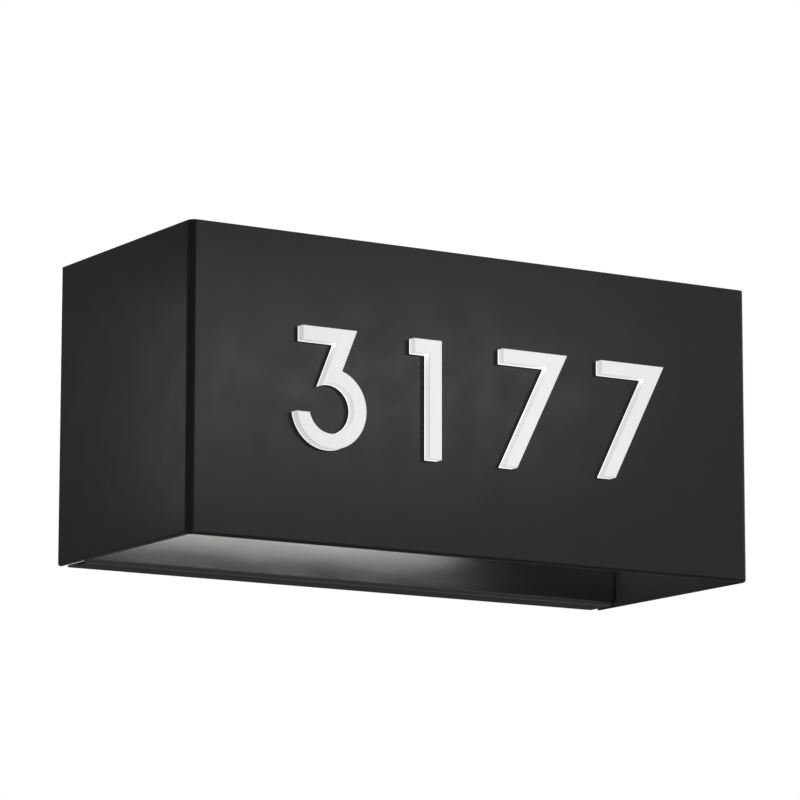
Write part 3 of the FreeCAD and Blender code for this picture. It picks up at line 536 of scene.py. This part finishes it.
class Shape(Tree):
    """A geometry tree with named inputs. It ends in real meshes with one material."""

    def __init__(self, name, numbers, **others):
        super().__init__(bpy.data.node_groups.new(name, "GeometryNodeTree"))
        face = self.tree.interface
        kinds = {"Geometry": "Geometry", **dict.fromkeys(numbers.split(), "Float"), **others,
                 "Material": "Material"}
        for label, kind in kinds.items():
            face.new_socket(label.replace("_", " "), in_out="INPUT", socket_type=f"NodeSocket{kind}")
        face.new_socket("Geometry", in_out="OUTPUT", socket_type="NodeSocketGeometry")
        self.given = SimpleNamespace(**dict(zip(kinds, self.tree.nodes.new("NodeGroupInput").outputs)))

    def mesh(self, kind, inputs=(), **settings):
        return self.node(f"GeometryNode{kind}", inputs, **settings).outputs[0]

    def place(self):
        """X, Y and Z of a point."""
        return self.axes(self.node("GeometryNodeInputPosition").outputs[0])

    def shaped(self, mesh, x, y, z):
        """Moves every point of a mesh to computed coordinates."""
        place = self.node("ShaderNodeCombineXYZ", {0: x, 1: y, 2: z}).outputs[0]
        return self.mesh("SetPosition", {"Geometry": mesh, "Position": place})

    def raised(self, mesh, z):
        shift = self.node("ShaderNodeCombineXYZ", {2: z}).outputs[0]
        return self.mesh("Transform", {"Geometry": mesh, "Translation": shift})

    def joined(self, *meshes):
        join = self.node("GeometryNodeJoinGeometry")
        for mesh in meshes:
            self.tree.links.new(mesh, join.inputs[0])
        return join.outputs[0]

    def either(self, test, when_false, when_true):
        inputs = {"Switch": test, "False": when_false, "True": when_true}
        return self.mesh("Switch", inputs, input_type="GEOMETRY")

    def cylinder(self, sides, radius, depth, rings=1):
        inputs = {"Vertices": sides, "Radius": radius, "Depth": depth, "Side Segments": rings}
        return self.mesh("MeshCylinder", inputs)

    def cone(self, sides, low, high, depth, rings=1):
        """Tapered bar that stands on Z = 0."""
        inputs = {"Vertices": sides, "Radius Bottom": low, "Radius Top": high, "Depth": depth,
                  "Side Segments": rings}
        return self.mesh("MeshCone", inputs)

    def cut(self, mesh, *tools, operation="DIFFERENCE"):
        """Cuts, joins or intersects closed meshes."""
        boolean = self.node("GeometryNodeMeshBoolean", operation=operation, solver="EXACT")
        self.tree.links.new(mesh, boolean.inputs[0 if operation == "DIFFERENCE" else 1])
        for tool in tools:
            self.tree.links.new(tool, boolean.inputs[1])
        return boolean.outputs[0]

    def on_points(self, mesh, crease):
        """Ends with a copy on each point of the input, turned as the input Turn says."""
        turn = self.node("FunctionNodeEulerToRotation", {0: self.given.Turn}).outputs[0]
        inputs = {"Points": self.given.Geometry, "Instance": mesh, "Rotation": turn}
        return self.end(self.mesh("InstanceOnPoints", inputs), crease)

    def end(self, geometry, crease):
        """Real meshes with the given material, smooth but for their creases."""
        real = self.mesh("RealizeInstances", {"Geometry": geometry})
        smooth = self.mesh("SetShadeSmooth", {"Geometry": real, "Shade Smooth": True})
        angle = self.node("GeometryNodeInputMeshEdgeAngle").outputs["Unsigned Angle"]
        sharp = self.above(angle, math.radians(crease))
        inputs = {"Geometry": smooth, "Name": "sharp_edge", "Value": sharp}
        creased = self.mesh("StoreNamedAttribute", inputs, data_type="BOOLEAN", domain="EDGE")
        last = self.mesh("SetMaterial", {"Geometry": creased, "Material": self.given.Material})
        self.node("NodeGroupOutput", {0: last})
        return self.tree


def screw_thread():
    """Helical thread along +Z: a solid bar, or a shell with a wall outside it.

    A flat grid is rolled into a tube, and its radius follows the thread's phase round and along the axis.
    At its ends a bar's thread runs out to the root, and a shell's opens to the crest, so a bar can enter.
    """
    tree = Shape("screw_thread", "Crest Root Nose Pitch Length Start Lead_In Flat Wall", Sides="Int",
                  Turn="Vector")
    given = tree.given
    turns = tree.over(given.Length, given.Pitch)
    rows = tree.calc("CEIL", tree.times(turns, ROWS_A_TURN))
    columns = tree.plus(given.Sides, 1.0)
    sheet = tree.mesh("MeshGrid", {"Size X": 1.0, "Size Y": 1.0, "Vertices X": columns, "Vertices Y": rows})
    x, y, _ = tree.place()
    around = tree.plus(x, 0.5)
    height = tree.times(tree.plus(y, 0.5), given.Length)
    risen = tree.over(tree.plus(height, given.Start), given.Pitch)
    phase = tree.calc("FRACT", tree.minus(risen, around))
    wave = tree.calc("ABSOLUTE", tree.minus(tree.times(phase, 2.0), 1.0))
    ridge = tree.spread(wave, given.Flat, tree.minus(1.0, given.Flat), smooth=True)
    to_far_end = tree.minus(given.Length, height)
    fade = tree.spread(tree.least(height, to_far_end), 0.0, given.Lead_In)
    hollow = tree.above(given.Wall, 0.0)
    run_out = tree.times(tree.minus(1.0, fade), hollow)
    ridge = tree.plus(tree.times(ridge, fade), run_out)
    depth = tree.minus(given.Crest, given.Root)
    radius = tree.plus(given.Root, tree.times(ridge, depth))
    nose = tree.spread(to_far_end, 0.0, given.Lead_In, given.Nose, given.Crest)
    radius = tree.least(radius, nose)
    angle = tree.times(around, 2 * math.pi)
    tube = tree.shaped(sheet, tree.times(radius, tree.calc("COSINE", angle)),
                        tree.times(radius, tree.calc("SINE", angle)), height)
    tube = tree.mesh("MergeByDistance", {"Geometry": tube, "Distance": SAME_POINT})
    near = tree.mesh("MeshCircle", {"Vertices": given.Sides, "Radius": given.Root}, fill_type="NGON")
    tip = tree.least(given.Root, given.Nose)
    far = tree.mesh("MeshCircle", {"Vertices": given.Sides, "Radius": tip}, fill_type="NGON")
    bar = tree.joined(tube, tree.mesh("FlipFaces", {"Mesh": near}), tree.raised(far, given.Length))
    outer = tree.mesh("ExtrudeMesh", {"Mesh": tube, "Offset Scale": given.Wall, "Individual": False})
    x, y, z = tree.place()
    outer = tree.shaped(outer, x, y, tree.least(tree.most(z, 0.0), given.Length))
    shell = tree.joined(tree.mesh("FlipFaces", {"Mesh": tube}), outer)
    whole = tree.either(hollow, bar, shell)
    return tree.on_points(tree.mesh("MergeByDistance", {"Geometry": whole, "Distance": SAME_POINT}), 50.0)


def hexagon_nut():
    """Six-sided nut about its middle: chamfered corners, a countersunk bore and, on a cap nut, a dome."""
    tree = Shape("hexagon_nut", "Across_Flats Height Bore Dome", Turn="Vector")
    given = tree.given
    height = given.Height
    corner = tree.times(given.Across_Flats, 1 / math.sqrt(3))
    full = tree.times(corner, 1.02)
    end = tree.times(given.Across_Flats, 0.475)
    rise = tree.times(tree.minus(full, end), math.tan(math.radians(30)))
    half = tree.times(height, 0.501)
    barrel = tree.cylinder(64, 1.0, 1.0, 3)
    x, y, z = tree.place()
    at_end = tree.above(tree.calc("ABSOLUTE", z), 0.4)
    radius = tree.spread(at_end, 0.0, 1.0, full, end)
    level = tree.spread(at_end, 0.0, 1.0, tree.minus(half, rise), half)
    barrel = tree.shaped(barrel, tree.times(x, radius), tree.times(y, radius),
                          tree.times(level, tree.calc("SIGN", z)))
    hexagon = tree.cut(tree.cylinder(6, corner, height), barrel, operation="INTERSECT")
    ball = tree.mesh("MeshUVSphere", {"Segments": 48, "Rings": 24, "Radius": given.Dome})
    x, y, z = tree.place()
    drop = tree.times(tree.calc("LESS_THAN", z, -1e-6), tree.times(height, 0.35))
    ball = tree.shaped(ball, x, y, tree.minus(z, drop))
    ball = tree.raised(ball, tree.times(height, 0.8))
    has_dome = tree.above(given.Dome, 0.0)
    body = tree.either(has_dome, hexagon, tree.cut(hexagon, ball, operation="UNION"))
    domed = tree.times(height, has_dome)
    depth = tree.plus(tree.times(height, 1.2), tree.times(domed, 0.54))
    bore = tree.raised(tree.cylinder(40, given.Bore, depth), tree.times(domed, 0.27))
    sink = tree.cone(40, tree.times(given.Bore, 1.18), given.Bore, tree.times(given.Bore, 0.3))
    sink = tree.raised(sink, tree.times(height, -0.501))
    return tree.on_points(tree.cut(body, bore, sink), 20.0)


def soft_ring():
    """Ring about Z with softened edges: a washer, or a lip of a rubber bush."""
    tree = Shape("soft_ring", "Outer Inner Thickness Softness", Turn="Vector")
    given = tree.given
    middle = tree.times(tree.plus(given.Outer, given.Inner), 0.5)
    width = tree.minus(given.Outer, given.Inner)
    path = tree.mesh("CurvePrimitiveCircle", {"Resolution": 72, "Radius": middle})
    section = tree.mesh("CurvePrimitiveQuadrilateral", {"Width": width, "Height": given.Thickness})
    inputs = {"Curve": section, "Count": 4, "Radius": given.Softness, "Limit Radius": True}
    section = tree.mesh("FilletCurve", inputs, mode="POLY")
    ring = tree.mesh("CurveToMesh", {"Curve": path, "Profile Curve": section})
    return tree.on_points(ring, 40.0)


def domed_head():
    """Low dome on Z = 0, with a socket in its top: six sides for a key, many for a blind rivet."""
    tree = Shape("domed_head", "Radius Rise Edge Socket Socket_Depth", Socket_Sides="Int", Turn="Vector")
    given = tree.given
    ball = tree.mesh("MeshUVSphere", {"Segments": 48, "Rings": 32, "Radius": 1.0})
    x, y, z = tree.place()
    upper = tree.times(tree.most(z, 0.0), given.Rise)
    edge = tree.times(given.Edge, tree.above(z, -0.05))
    dome = tree.shaped(ball, tree.times(x, given.Radius), tree.times(y, given.Radius),
                        tree.plus(upper, edge))
    top = tree.plus(given.Rise, given.Edge)
    reach = tree.times(given.Socket_Depth, 2.0)
    socket = tree.raised(tree.cylinder(given.Socket_Sides, given.Socket, reach), top)
    return tree.on_points(tree.cut(dome, socket), 30.0)


def weld_ripples():
    """Row of overlapping puddles along each edge of the input, melted into one bead."""
    tree = Shape("weld_ripples", "Radius Step Grain")
    given = tree.given
    runs = tree.mesh("MeshToCurve", {"Mesh": given.Geometry})
    inputs = {"Curve": runs, "Length": given.Step}
    dots = tree.node("GeometryNodeCurveToPoints", inputs, mode="LENGTH").outputs
    puddle = tree.mesh("MeshIcoSphere", {"Radius": given.Radius, "Subdivisions": 3})
    puddle = tree.mesh("Transform", {"Geometry": puddle, "Scale": (1.0, 1.0, 0.55)})
    inputs = {"Min": (0.92, 0.92, 0.9), "Max": (1.06, 1.06, 1.1), "Seed": 7}
    wobble = tree.node("FunctionNodeRandomValue", inputs, data_type="FLOAT_VECTOR").outputs[0]
    inputs = {"Points": dots["Points"], "Instance": puddle, "Rotation": dots["Rotation"], "Scale": wobble}
    row = tree.mesh("InstanceOnPoints", inputs)
    real = tree.mesh("RealizeInstances", {"Geometry": row})
    inputs = {"Mesh": real, "Voxel Size": given.Grain, "Density": 1.0,
              "Interior Band Width": tree.times(given.Grain, 7.0)}
    melted = tree.mesh("MeshToVolume", inputs, resolution_mode="VOXEL_SIZE")
    bead = tree.mesh("VolumeToMesh", {"Volume": melted, "Threshold": 0.5})
    return tree.end(bead, 60.0)


def fluted_cap():
    """Wire connector that stands nose down on Z = 0: a tapered cap with grip flutes and an open skirt."""
    tree = Shape("fluted_cap", "Nose Waist Skirt Mouth Length Flute_Depth", Flutes="Int", Turn="Vector")
    given = tree.given
    barrel = tree.cone(144, 1.0, 1.0, 1.0, 40)
    x, y, z = tree.place()
    taper = tree.spread(z, 0.0, 0.7, given.Nose, given.Waist)
    skirt = tree.spread(z, 0.70, 0.76, smooth=True)
    radius = tree.plus(taper, tree.times(skirt, tree.minus(given.Skirt, given.Waist)))
    grip = tree.times(tree.spread(z, 0.08, 0.18, smooth=True), tree.spread(z, 0.6, 0.7, 1.0, 0.0, True))
    wave = tree.calc("COSINE", tree.times(tree.calc("ARCTAN2", y, x), given.Flutes))
    valley = tree.times(tree.minus(wave, 1.0), tree.times(grip, given.Flute_Depth))
    radius = tree.times(tree.plus(radius, valley), tree.spread(z, 0.0, 0.07, 0.82, 1.0, True))
    body = tree.shaped(barrel, tree.times(x, radius), tree.times(y, radius),
                        tree.times(z, given.Length))
    bore = tree.cone(48, tree.times(given.Mouth, 0.77), tree.times(given.Mouth, 1.002),
                      tree.times(given.Length, 0.375))
    bore = tree.raised(bore, tree.times(given.Length, 0.6251))
    return tree.on_points(tree.cut(body, bore), 40.0)


# ---- Placing ----

def finish(maker, *settings):
    """The material that a function makes, or made earlier."""
    return bpy.data.materials.get(FINISH_NAME.format(maker.__name__)) or maker(*settings)


def dress(material, *nodes):
    """Gives CAD nodes a finish."""
    for name in nodes:
        for slot in frame["nodes"][name].material_slots:
            slot.material = material


def solids_of(node, reach):
    """Boxes of a CAD node's solids. Reach is longer than a solid and shorter than the gaps."""
    boxes = []
    for vertex in frame["nodes"][node].data.vertices:
        at = vertex.co
        for low, high in boxes:
            if all(low[i] - reach < at[i] < high[i] + reach for i in range(3)):
                low[:] = [min(low[i], at[i]) for i in range(3)]
                high[:] = [max(high[i], at[i]) for i in range(3)]
                break
        else:
            boxes.append((at.copy(), at.copy()))
    return boxes


def spots(node, level=0.5, axis=1, reach=40 * MM, shift=0.0):
    """Middles of a CAD node's solids, but along one axis at a share of the length, and shifted."""
    found = []
    for low, high in solids_of(node, reach):
        at = (low + high) / 2
        at[axis] = low[axis] + level * (high[axis] - low[axis]) + shift
        found.append(at)
    return found


def placed(name, data):
    """A new object in the scene."""
    thing = bpy.data.objects.new(name, data)
    bpy.context.scene.collection.objects.link(thing)
    return thing


def grow(name, node, slot, maker, points, edges=(), **inputs):
    """Runs a geometry tree over points, and keeps its plain mesh as a piece in place of a CAD node."""
    tree = bpy.data.node_groups.get(maker.__name__) or maker()
    mesh = bpy.data.meshes.new(name)
    mesh.from_pydata([tuple(point) for point in points], edges, [])
    piece = placed(name, mesh)
    modifier = piece.modifiers.new(maker.__name__, "NODES")
    modifier.node_group = tree
    sockets = {item.name: item.identifier for item in tree.interface.items_tree if item.in_out == "INPUT"}
    for label, value in {**inputs, "Material": finish(LOOKS[slot])}.items():
        modifier[sockets[label.replace("_", " ")]] = value
    grown = piece.evaluated_get(bpy.context.evaluated_depsgraph_get())
    plain = bpy.data.meshes.new_from_object(grown)
    if not plain.polygons:
        raise RuntimeError(f"{name} came out empty")
    piece.modifiers.clear()
    piece.data = plain
    bpy.data.meshes.remove(mesh)
    plain.name = name
    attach(piece, frame["nodes"][node]["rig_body"])
    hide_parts(node)


def thread_studs(name, node, thread, pitch):
    """Threads the zinc-plated studs of a CAD node, which run along Y."""
    sizes = bpy.context.scene.sign_threads
    low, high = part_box(node)
    grow(name, node, "zinc_steel", screw_thread, spots(node, 0.0), Sides=sizes.around,
         Pitch=getattr(sizes, pitch), Length=high.y - low.y, Turn=TO_WALL, **thread)


def weld_runs():
    """Middle lines of the stitch welds, as points and edges."""
    inset = 1.3 * MM
    points = []
    for low, high in solids_of("top_weld_beads", 44 * MM):
        z = high.z - inset
        if high.x - low.x > high.y - low.y:
            points += [(low.x, low.y + inset, z), (high.x, low.y + inset, z)]
        else:
            x = low.x + inset if low.x < 0 else high.x - inset
            points += [(x, low.y, z), (x, high.y, z)]
    return points, [(i, i + 1) for i in range(0, len(points), 2)]


# ---- Stage ----

def softbox(name, place, aim, width, height, power):
    """Soft rectangular light that looks at a point."""
    light = bpy.data.lights.new(name, "AREA")
    light.shape = "RECTANGLE"
    light.size = width
    light.size_y = height
    light.energy = power
    box = placed(name, light)
    box.location = place
    box.rotation_euler = (Vector(aim) - Vector(place)).to_track_quat("-Z", "Y").to_euler()
    box.visible_camera = False


def white_studio(scene, ambient):
    """World that the camera and reflections see as white, and that lights the object evenly."""
    world = bpy.data.worlds.new("studio")
    world.use_nodes = True
    world.node_tree.nodes.clear()
    tree = Tree(world.node_tree)
    rays = tree.node("ShaderNodeLightPath").outputs
    seen = tree.most(rays["Is Camera Ray"], rays["Is Glossy Ray"])
    seen = tree.most(seen, rays["Is Transmission Ray"])
    light, white = (tree.node("ShaderNodeBackground", {"Color": WHITE, "Strength": strength}).outputs[0]
                    for strength in (ambient, 1.0))
    mix = tree.node("ShaderNodeMixShader", {0: seen, 1: light, 2: white})
    tree.node("ShaderNodeOutputWorld", {"Surface": mix.outputs[0]})
    scene.world = world


def stage_sheet(name, corners, faces, material):
    """Sheet for the stage, placed in the scene."""
    mesh = bpy.data.meshes.new(name)
    mesh.from_pydata(corners, [], faces)
    mesh.materials.append(material)
    sheet = placed(name, mesh)
    return sheet


def screen(name, distance, start, end, grey):
    """Curved screen round the sign, between two bearings, that only reflections see: a painted reflection."""
    low, high, step = -0.45 * distance, 1.1 * distance, 5
    angles = [math.radians(bearing) for bearing in range(start, end + 1, step)]
    corners = [(distance * math.sin(angle), -distance * math.cos(angle), z)
               for angle in angles for z in (low, high)]
    faces = [(i, i + 2, i + 3, i + 1) for i in range(0, len(corners) - 2, 2)]
    # Painted reflection: the sheet's grey glow shows only in the hood's reflections and darkens them
    painted_reflection = Finish(f"{name}_cloth", BLACK, 1.0, **{
        "Specular IOR Level": 0.0, "Emission Color": (grey, grey, grey, 1.0), "Emission Strength": 1.0})
    sheet = stage_sheet(name, corners, faces, painted_reflection.material)
    sheet.visible_camera = sheet.visible_diffuse = sheet.visible_shadow = False


def photo_camera(scene, studio):
    """Camera below the sign and to its left, as in the photograph."""
    camera = bpy.data.cameras.new("photo_camera")
    camera.lens = studio.focal_length
    camera.sensor_width = 36.0
    camera.clip_start = 0.05
    camera.clip_end = 100.0
    eye = placed("photo_camera", camera)
    eye.location = CAMERA_PLACE
    turn = Matrix.Rotation(-studio.camera_yaw, 3, "Z") @ Matrix.Rotation(
        math.radians(90) + studio.camera_pitch, 3, "X") @ Matrix.Rotation(studio.camera_roll, 3, "Z")
    eye.rotation_euler = turn.to_euler()
    scene.camera = eye


# ---- Operators ----

class SIGN_OT_coat_hood(Operator):
    """Powder-coats the hood's bent sheet, its top plate and the ripples of its stitch welds"""

    bl_idname = "sign.coat_hood"
    bl_label = "Coat Hood"

    def execute(self, context):
        dress(finish(powder_coat, context.scene.sign_coat), "hood_wrap", "hood_top")
        points, runs = weld_runs()
        grow("top_weld_ripples", "top_weld_beads", "hood_coat", weld_ripples, points, runs,
             Step=context.scene.sign_threads.weld_step, **mm(Radius=1.9, Grain=0.4))
        return {"FINISHED"}


class SIGN_OT_light_numerals(Operator):
    """Finishes the acrylic numerals and the opal plate behind them, with painted glow in place of the lamp's
    light
    """

    bl_idname = "sign.light_numerals"
    bl_label = "Light Numerals"

    def execute(self, context):
        acrylic = finish(opal_acrylic, context.scene.sign_glow)
        dress(acrylic, *[name for name in frame["nodes"] if name.startswith("numeral_")])
        return {"FINISHED"}


class SIGN_OT_bolt_backer(Operator):
    """Threads the studs of the opal plate and sets their washers and nuts"""

    bl_idname = "sign.bolt_backer"
    bl_label = "Bolt Backer"

    def execute(self, context):
        thread_studs("backer_stud_threads", "backer_studs", M4_THREAD, "m4_pitch")
        foot = 0.031  # middle of a weld foot, as a share of the stud's length
        grow("backer_stud_feet", "backer_studs", "zinc_steel", soft_ring, spots("backer_studs", foot),
             Turn=TO_WALL, **mm(Outer=3.0, Inner=1.4, Thickness=0.8, Softness=0.3))
        grow("backer_washer_set", "backer_washers", "zinc_steel", soft_ring, spots("backer_washers"),
             Turn=TO_WALL, **mm(Outer=4.5, Inner=2.15, Thickness=0.8, Softness=0.15))
        grow("backer_nut_set", "backer_nuts", "zinc_steel", hexagon_nut, spots("backer_nuts"), Turn=TO_WALL,
             **M4_NUT)
        return {"FINISHED"}


class SIGN_OT_coat_pan(Operator):
    """Coats the wall pan and the lamp bracket"""

    bl_idname = "sign.coat_pan"
    bl_label = "Coat Pan"

    def execute(self, context):
        dress(finish(pan_coat, context.scene.sign_coat), "back_pan", "lamp_bracket")
        return {"FINISHED"}


class SIGN_OT_hang_pan(Operator):
    """Sets the strap, its threaded studs and lock nuts, and the sealed cap nuts in front of the pan"""

    bl_idname = "sign.hang_pan"
    bl_label = "Hang Pan"

    def execute(self, context):
        dress(finish(zinc_plate), "mounting_strap")
        thread_studs("fixture_stud_threads", "fixture_studs", M5_THREAD, "m5_pitch")
        grow("strap_lock_nut_set", "strap_lock_nuts", "zinc_steel", hexagon_nut, spots("strap_lock_nuts"),
             Turn=TO_WALL, Height=4.0 * MM, **M5_NUT)
        grow("sealing_washer_set", "sealing_washers", "rubber", soft_ring, spots("sealing_washers"),
             Turn=TO_WALL, **mm(Outer=6.5, Inner=2.6, Thickness=1.2, Softness=0.5))
        hexagon = 5.0 * MM
        seats = spots("cap_nuts", 1.0, shift=-hexagon / 2)
        grow("cap_nut_set", "cap_nuts", "black_steel", hexagon_nut, seats, Height=hexagon, Turn=FROM_WALL,
             Dome=3.7 * MM, **M5_NUT)
        return {"FINISHED"}


class SIGN_OT_screw_hood(Operator):
    """Sets the hood's two button-head screws and the inserts that take them"""

    bl_idname = "sign.screw_hood"
    bl_label = "Screw Hood"

    def execute(self, context):
        sizes = context.scene.sign_threads
        dress(finish(zinc_plate), "clinch_nuts")
        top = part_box("hood_top")[1].z
        ends = spots("hood_screws", 0.0, 2)
        grow("hood_screw_threads", "hood_screws", "black_steel", screw_thread, ends, Pitch=sizes.m5_pitch,
             Length=top - ends[0].z, Sides=sizes.around, **BLUNT_THREAD)
        seats = [(end.x, end.y, top) for end in ends]
        grow("hood_screw_heads", "hood_screws", "black_steel", domed_head, seats, Socket_Sides=6,
             **mm(Radius=4.75, Rise=1.85, Edge=0.9, Socket=1.73, Socket_Depth=1.5))
        return {"FINISHED"}


class SIGN_OT_bond_earth(Operator):
    """Finishes the earth stud, its nut, the terminals, the green screw and the green lead"""

    bl_idname = "sign.bond_earth"
    bl_label = "Bond Earth"

    def execute(self, context):
        dress(finish(zinc_plate), "ring_terminals")
        dress(finish(green_steel), "strap_ground_screw")
        dress(wire_jacket("green_wire_jacket", (0.03, 0.25, 0.08)), "ground_lead")
        thread_studs("ground_stud_thread", "ground_stud", M4_THREAD, "m4_pitch")
        grow("ground_nut_chamfered", "ground_nut", "zinc_steel", hexagon_nut, spots("ground_nut"),
             Turn=TO_WALL, **M4_NUT)
        return {"FINISHED"}


class SIGN_OT_rivet_bracket(Operator):
    """Sets the bracket's domed rivets and the rounded rubber bush beside them"""

    bl_idname = "sign.rivet_bracket"
    bl_label = "Rivet Bracket"

    def execute(self, context):
        fronts = spots("bracket_rivets", 0.0, reach=8 * MM, shift=1.0 * MM)
        backs = spots("bracket_rivets", 1.0, reach=8 * MM, shift=-2.0 * MM)
        grow("rivet_heads", "bracket_rivets", "black_steel", domed_head, fronts, Socket_Sides=24,
             Turn=FROM_WALL, **mm(Radius=3.2, Rise=0.75, Edge=0.25, Socket=0.9, Socket_Depth=0.45))
        grow("rivet_tails", "bracket_rivets", "black_steel", domed_head, backs, Socket_Sides=24, Turn=TO_WALL,
             **mm(Radius=2.3, Rise=1.1, Edge=0.9, Socket=0.8, Socket_Depth=0.3))
        low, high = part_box("pan_grommet")
        lip = 1.5 * MM
        lips = spots("pan_grommet", 0.0, shift=lip / 2) + spots("pan_grommet", 1.0, shift=-lip / 2)
        grow("grommet_lips", "pan_grommet", "rubber", soft_ring, lips, Thickness=lip, Turn=TO_WALL,
             **mm(Outer=8.0, Inner=3.9, Softness=0.7))
        grow("grommet_bush", "pan_grommet", "rubber", soft_ring, spots("pan_grommet"),
             Thickness=high.y - low.y - lip, Turn=TO_WALL, **mm(Outer=6.0, Inner=3.95, Softness=0.1))
        return {"FINISHED"}


class SIGN_OT_dress_wiring(Operator):
    """Finishes the lamp's leads and moulds the grip of the wire connectors"""

    bl_idname = "sign.dress_wiring"
    bl_label = "Dress Wiring"

    def execute(self, context):
        dress(wire_jacket("black_wire_jacket", (0.02, 0.02, 0.02)), "lead_black")
        dress(wire_jacket("white_wire_jacket", (0.74, 0.74, 0.71)), "lead_white")
        low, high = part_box("wire_connectors")
        grow("wire_connector_caps", "wire_connectors", "connector_shell", fluted_cap,
             spots("wire_connectors", 0.0, 2, 28 * MM), Length=high.z - low.z, Flutes=12,
             **mm(Nose=3.9, Waist=5.7, Skirt=6.75, Mouth=5.2, Flute_Depth=0.35))
        return {"FINISHED"}


class SIGN_OT_dress_lampholder(Operator):
    """Glazes the lampholder and rolls the thread of its brass shell"""

    bl_idname = "sign.dress_lampholder"
    bl_label = "Dress Lampholder"

    def execute(self, context):
        dress(finish(porcelain), "holder_body")
        dress(finish(brass), "holder_contact")
        dress(finish(zinc_plate), "holder_screws")
        low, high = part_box("holder_shell")
        roof = 0.8 * MM
        start = low.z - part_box("bulb_cap")[0].z
        top = spots("holder_shell", 1.0, 2, shift=-roof / 2)
        grow("holder_shell_thread", "holder_shell", "brass", screw_thread, spots("holder_shell", 0.0, 2),
             Sides=96, Pitch=context.scene.sign_threads.cap_pitch, Length=high.z - low.z, Start=start,
             **mm(Crest=13.45, Root=12.8, Nose=13.45, Lead_In=1.2, Wall=0.4))
        grow("holder_shell_roof", "holder_shell", "brass", soft_ring, top, Thickness=roof,
             **mm(Outer=13.6, Inner=5.0, Softness=0.1))
        return {"FINISHED"}


class SIGN_OT_dress_bulb(Operator):
    """Finishes the bulb, lights its globe and rolls the thread of its cap"""

    bl_idname = "sign.dress_bulb"
    bl_label = "Dress Bulb"

    def execute(self, context):
        dress(finish(black_glass), "bulb_insulator")
        dress(finish(solder), "bulb_tip")
        dress(finish(bulb_housing), "bulb_collar")
        dress(finish(bulb_diffuser, context.scene.sign_glow), "bulb_globe")
        dress(finish(board_mask), "bulb_led_plate")
        low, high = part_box("bulb_cap")
        grow("bulb_cap_thread", "bulb_cap", "cap_nickel", screw_thread, spots("bulb_cap", 0.0, 2),
             Sides=96, Pitch=context.scene.sign_threads.cap_pitch, Length=high.z - low.z,
             **mm(Crest=13.0, Root=12.25, Nose=9.0, Lead_In=2.0))
        return {"FINISHED"}


class SIGN_OT_set_stage(Operator):
    """Lays the floor and sets the lights, the world and the camera"""

    bl_idname = "sign.set_stage"
    bl_label = "Set Stage"

    def execute(self, context):
        scene = context.scene
        studio = scene.sign_studio
        half, level = 30.0, -studio.floor_drop
        stage_sheet("studio_floor", [(-half, -half, level), (half, -half, level), (half, half, level),
                                     (-half, half, level)], [(0, 1, 2, 3)], pale_floor())
        white_studio(scene, studio.ambient)
        middle = (CAD_BOX[0] + CAD_BOX[1]) / 2
        for name, (place, aim, width, height) in LIGHTS.items():
            softbox(f"{name}_light", place, aim or middle, width, height, getattr(studio, f"{name}_power"))
        # Painted reflections: grey screens that only the hood's reflections see
        for name, (start, end) in SCREENS.items():
            screen(name, studio.screen_distance, start, end, getattr(studio, name))
        photo_camera(scene, studio)
        scene.view_settings.view_transform = "Standard"
        return {"FINISHED"}


class SIGN_PT_panel(Panel):
    """Lists the sign's settings and the steps that dress it"""

    bl_label = "Number Sign"
    bl_idname = "SIGN_PT_panel"
    bl_space_type = "VIEW_3D"
    bl_region_type = "UI"
    bl_category = "Number Sign"

    def draw(self, context):
        for name in SETTINGS:
            box = self.layout.box()
            settings = getattr(context.scene, name)
            for prop in settings.bl_rna.properties:
                if prop.identifier not in ("rna_type", "name"):
                    box.prop(settings, prop.identifier)
        for step in STEPS:
            self.layout.operator(step.bl_idname)


# ---- Registration ----

SETTINGS = {"sign_coat": CoatSettings, "sign_glow": GlowSettings, "sign_threads": ThreadSettings,
            "sign_studio": StudioSettings}
STEPS = (SIGN_OT_coat_hood, SIGN_OT_light_numerals, SIGN_OT_bolt_backer, SIGN_OT_coat_pan, SIGN_OT_hang_pan,
         SIGN_OT_screw_hood, SIGN_OT_bond_earth, SIGN_OT_rivet_bracket, SIGN_OT_dress_wiring,
         SIGN_OT_dress_lampholder, SIGN_OT_dress_bulb, SIGN_OT_set_stage)
CLASSES = (*SETTINGS.values(), *STEPS, SIGN_PT_panel)


def register():
    for cls in CLASSES:
        bpy.utils.register_class(cls)
    for name, cls in SETTINGS.items():
        setattr(bpy.types.Scene, name, PointerProperty(type=cls))


def unregister():
    for name in SETTINGS:
        delattr(bpy.types.Scene, name)
    for cls in reversed(CLASSES):
        bpy.utils.unregister_class(cls)


def main():
    """Dresses the sign."""
    register()
    for step in STEPS:
        area, _, action = step.bl_idname.partition(".")
        getattr(getattr(bpy.ops, area), action)()


if __name__ == "__main__":
    main()
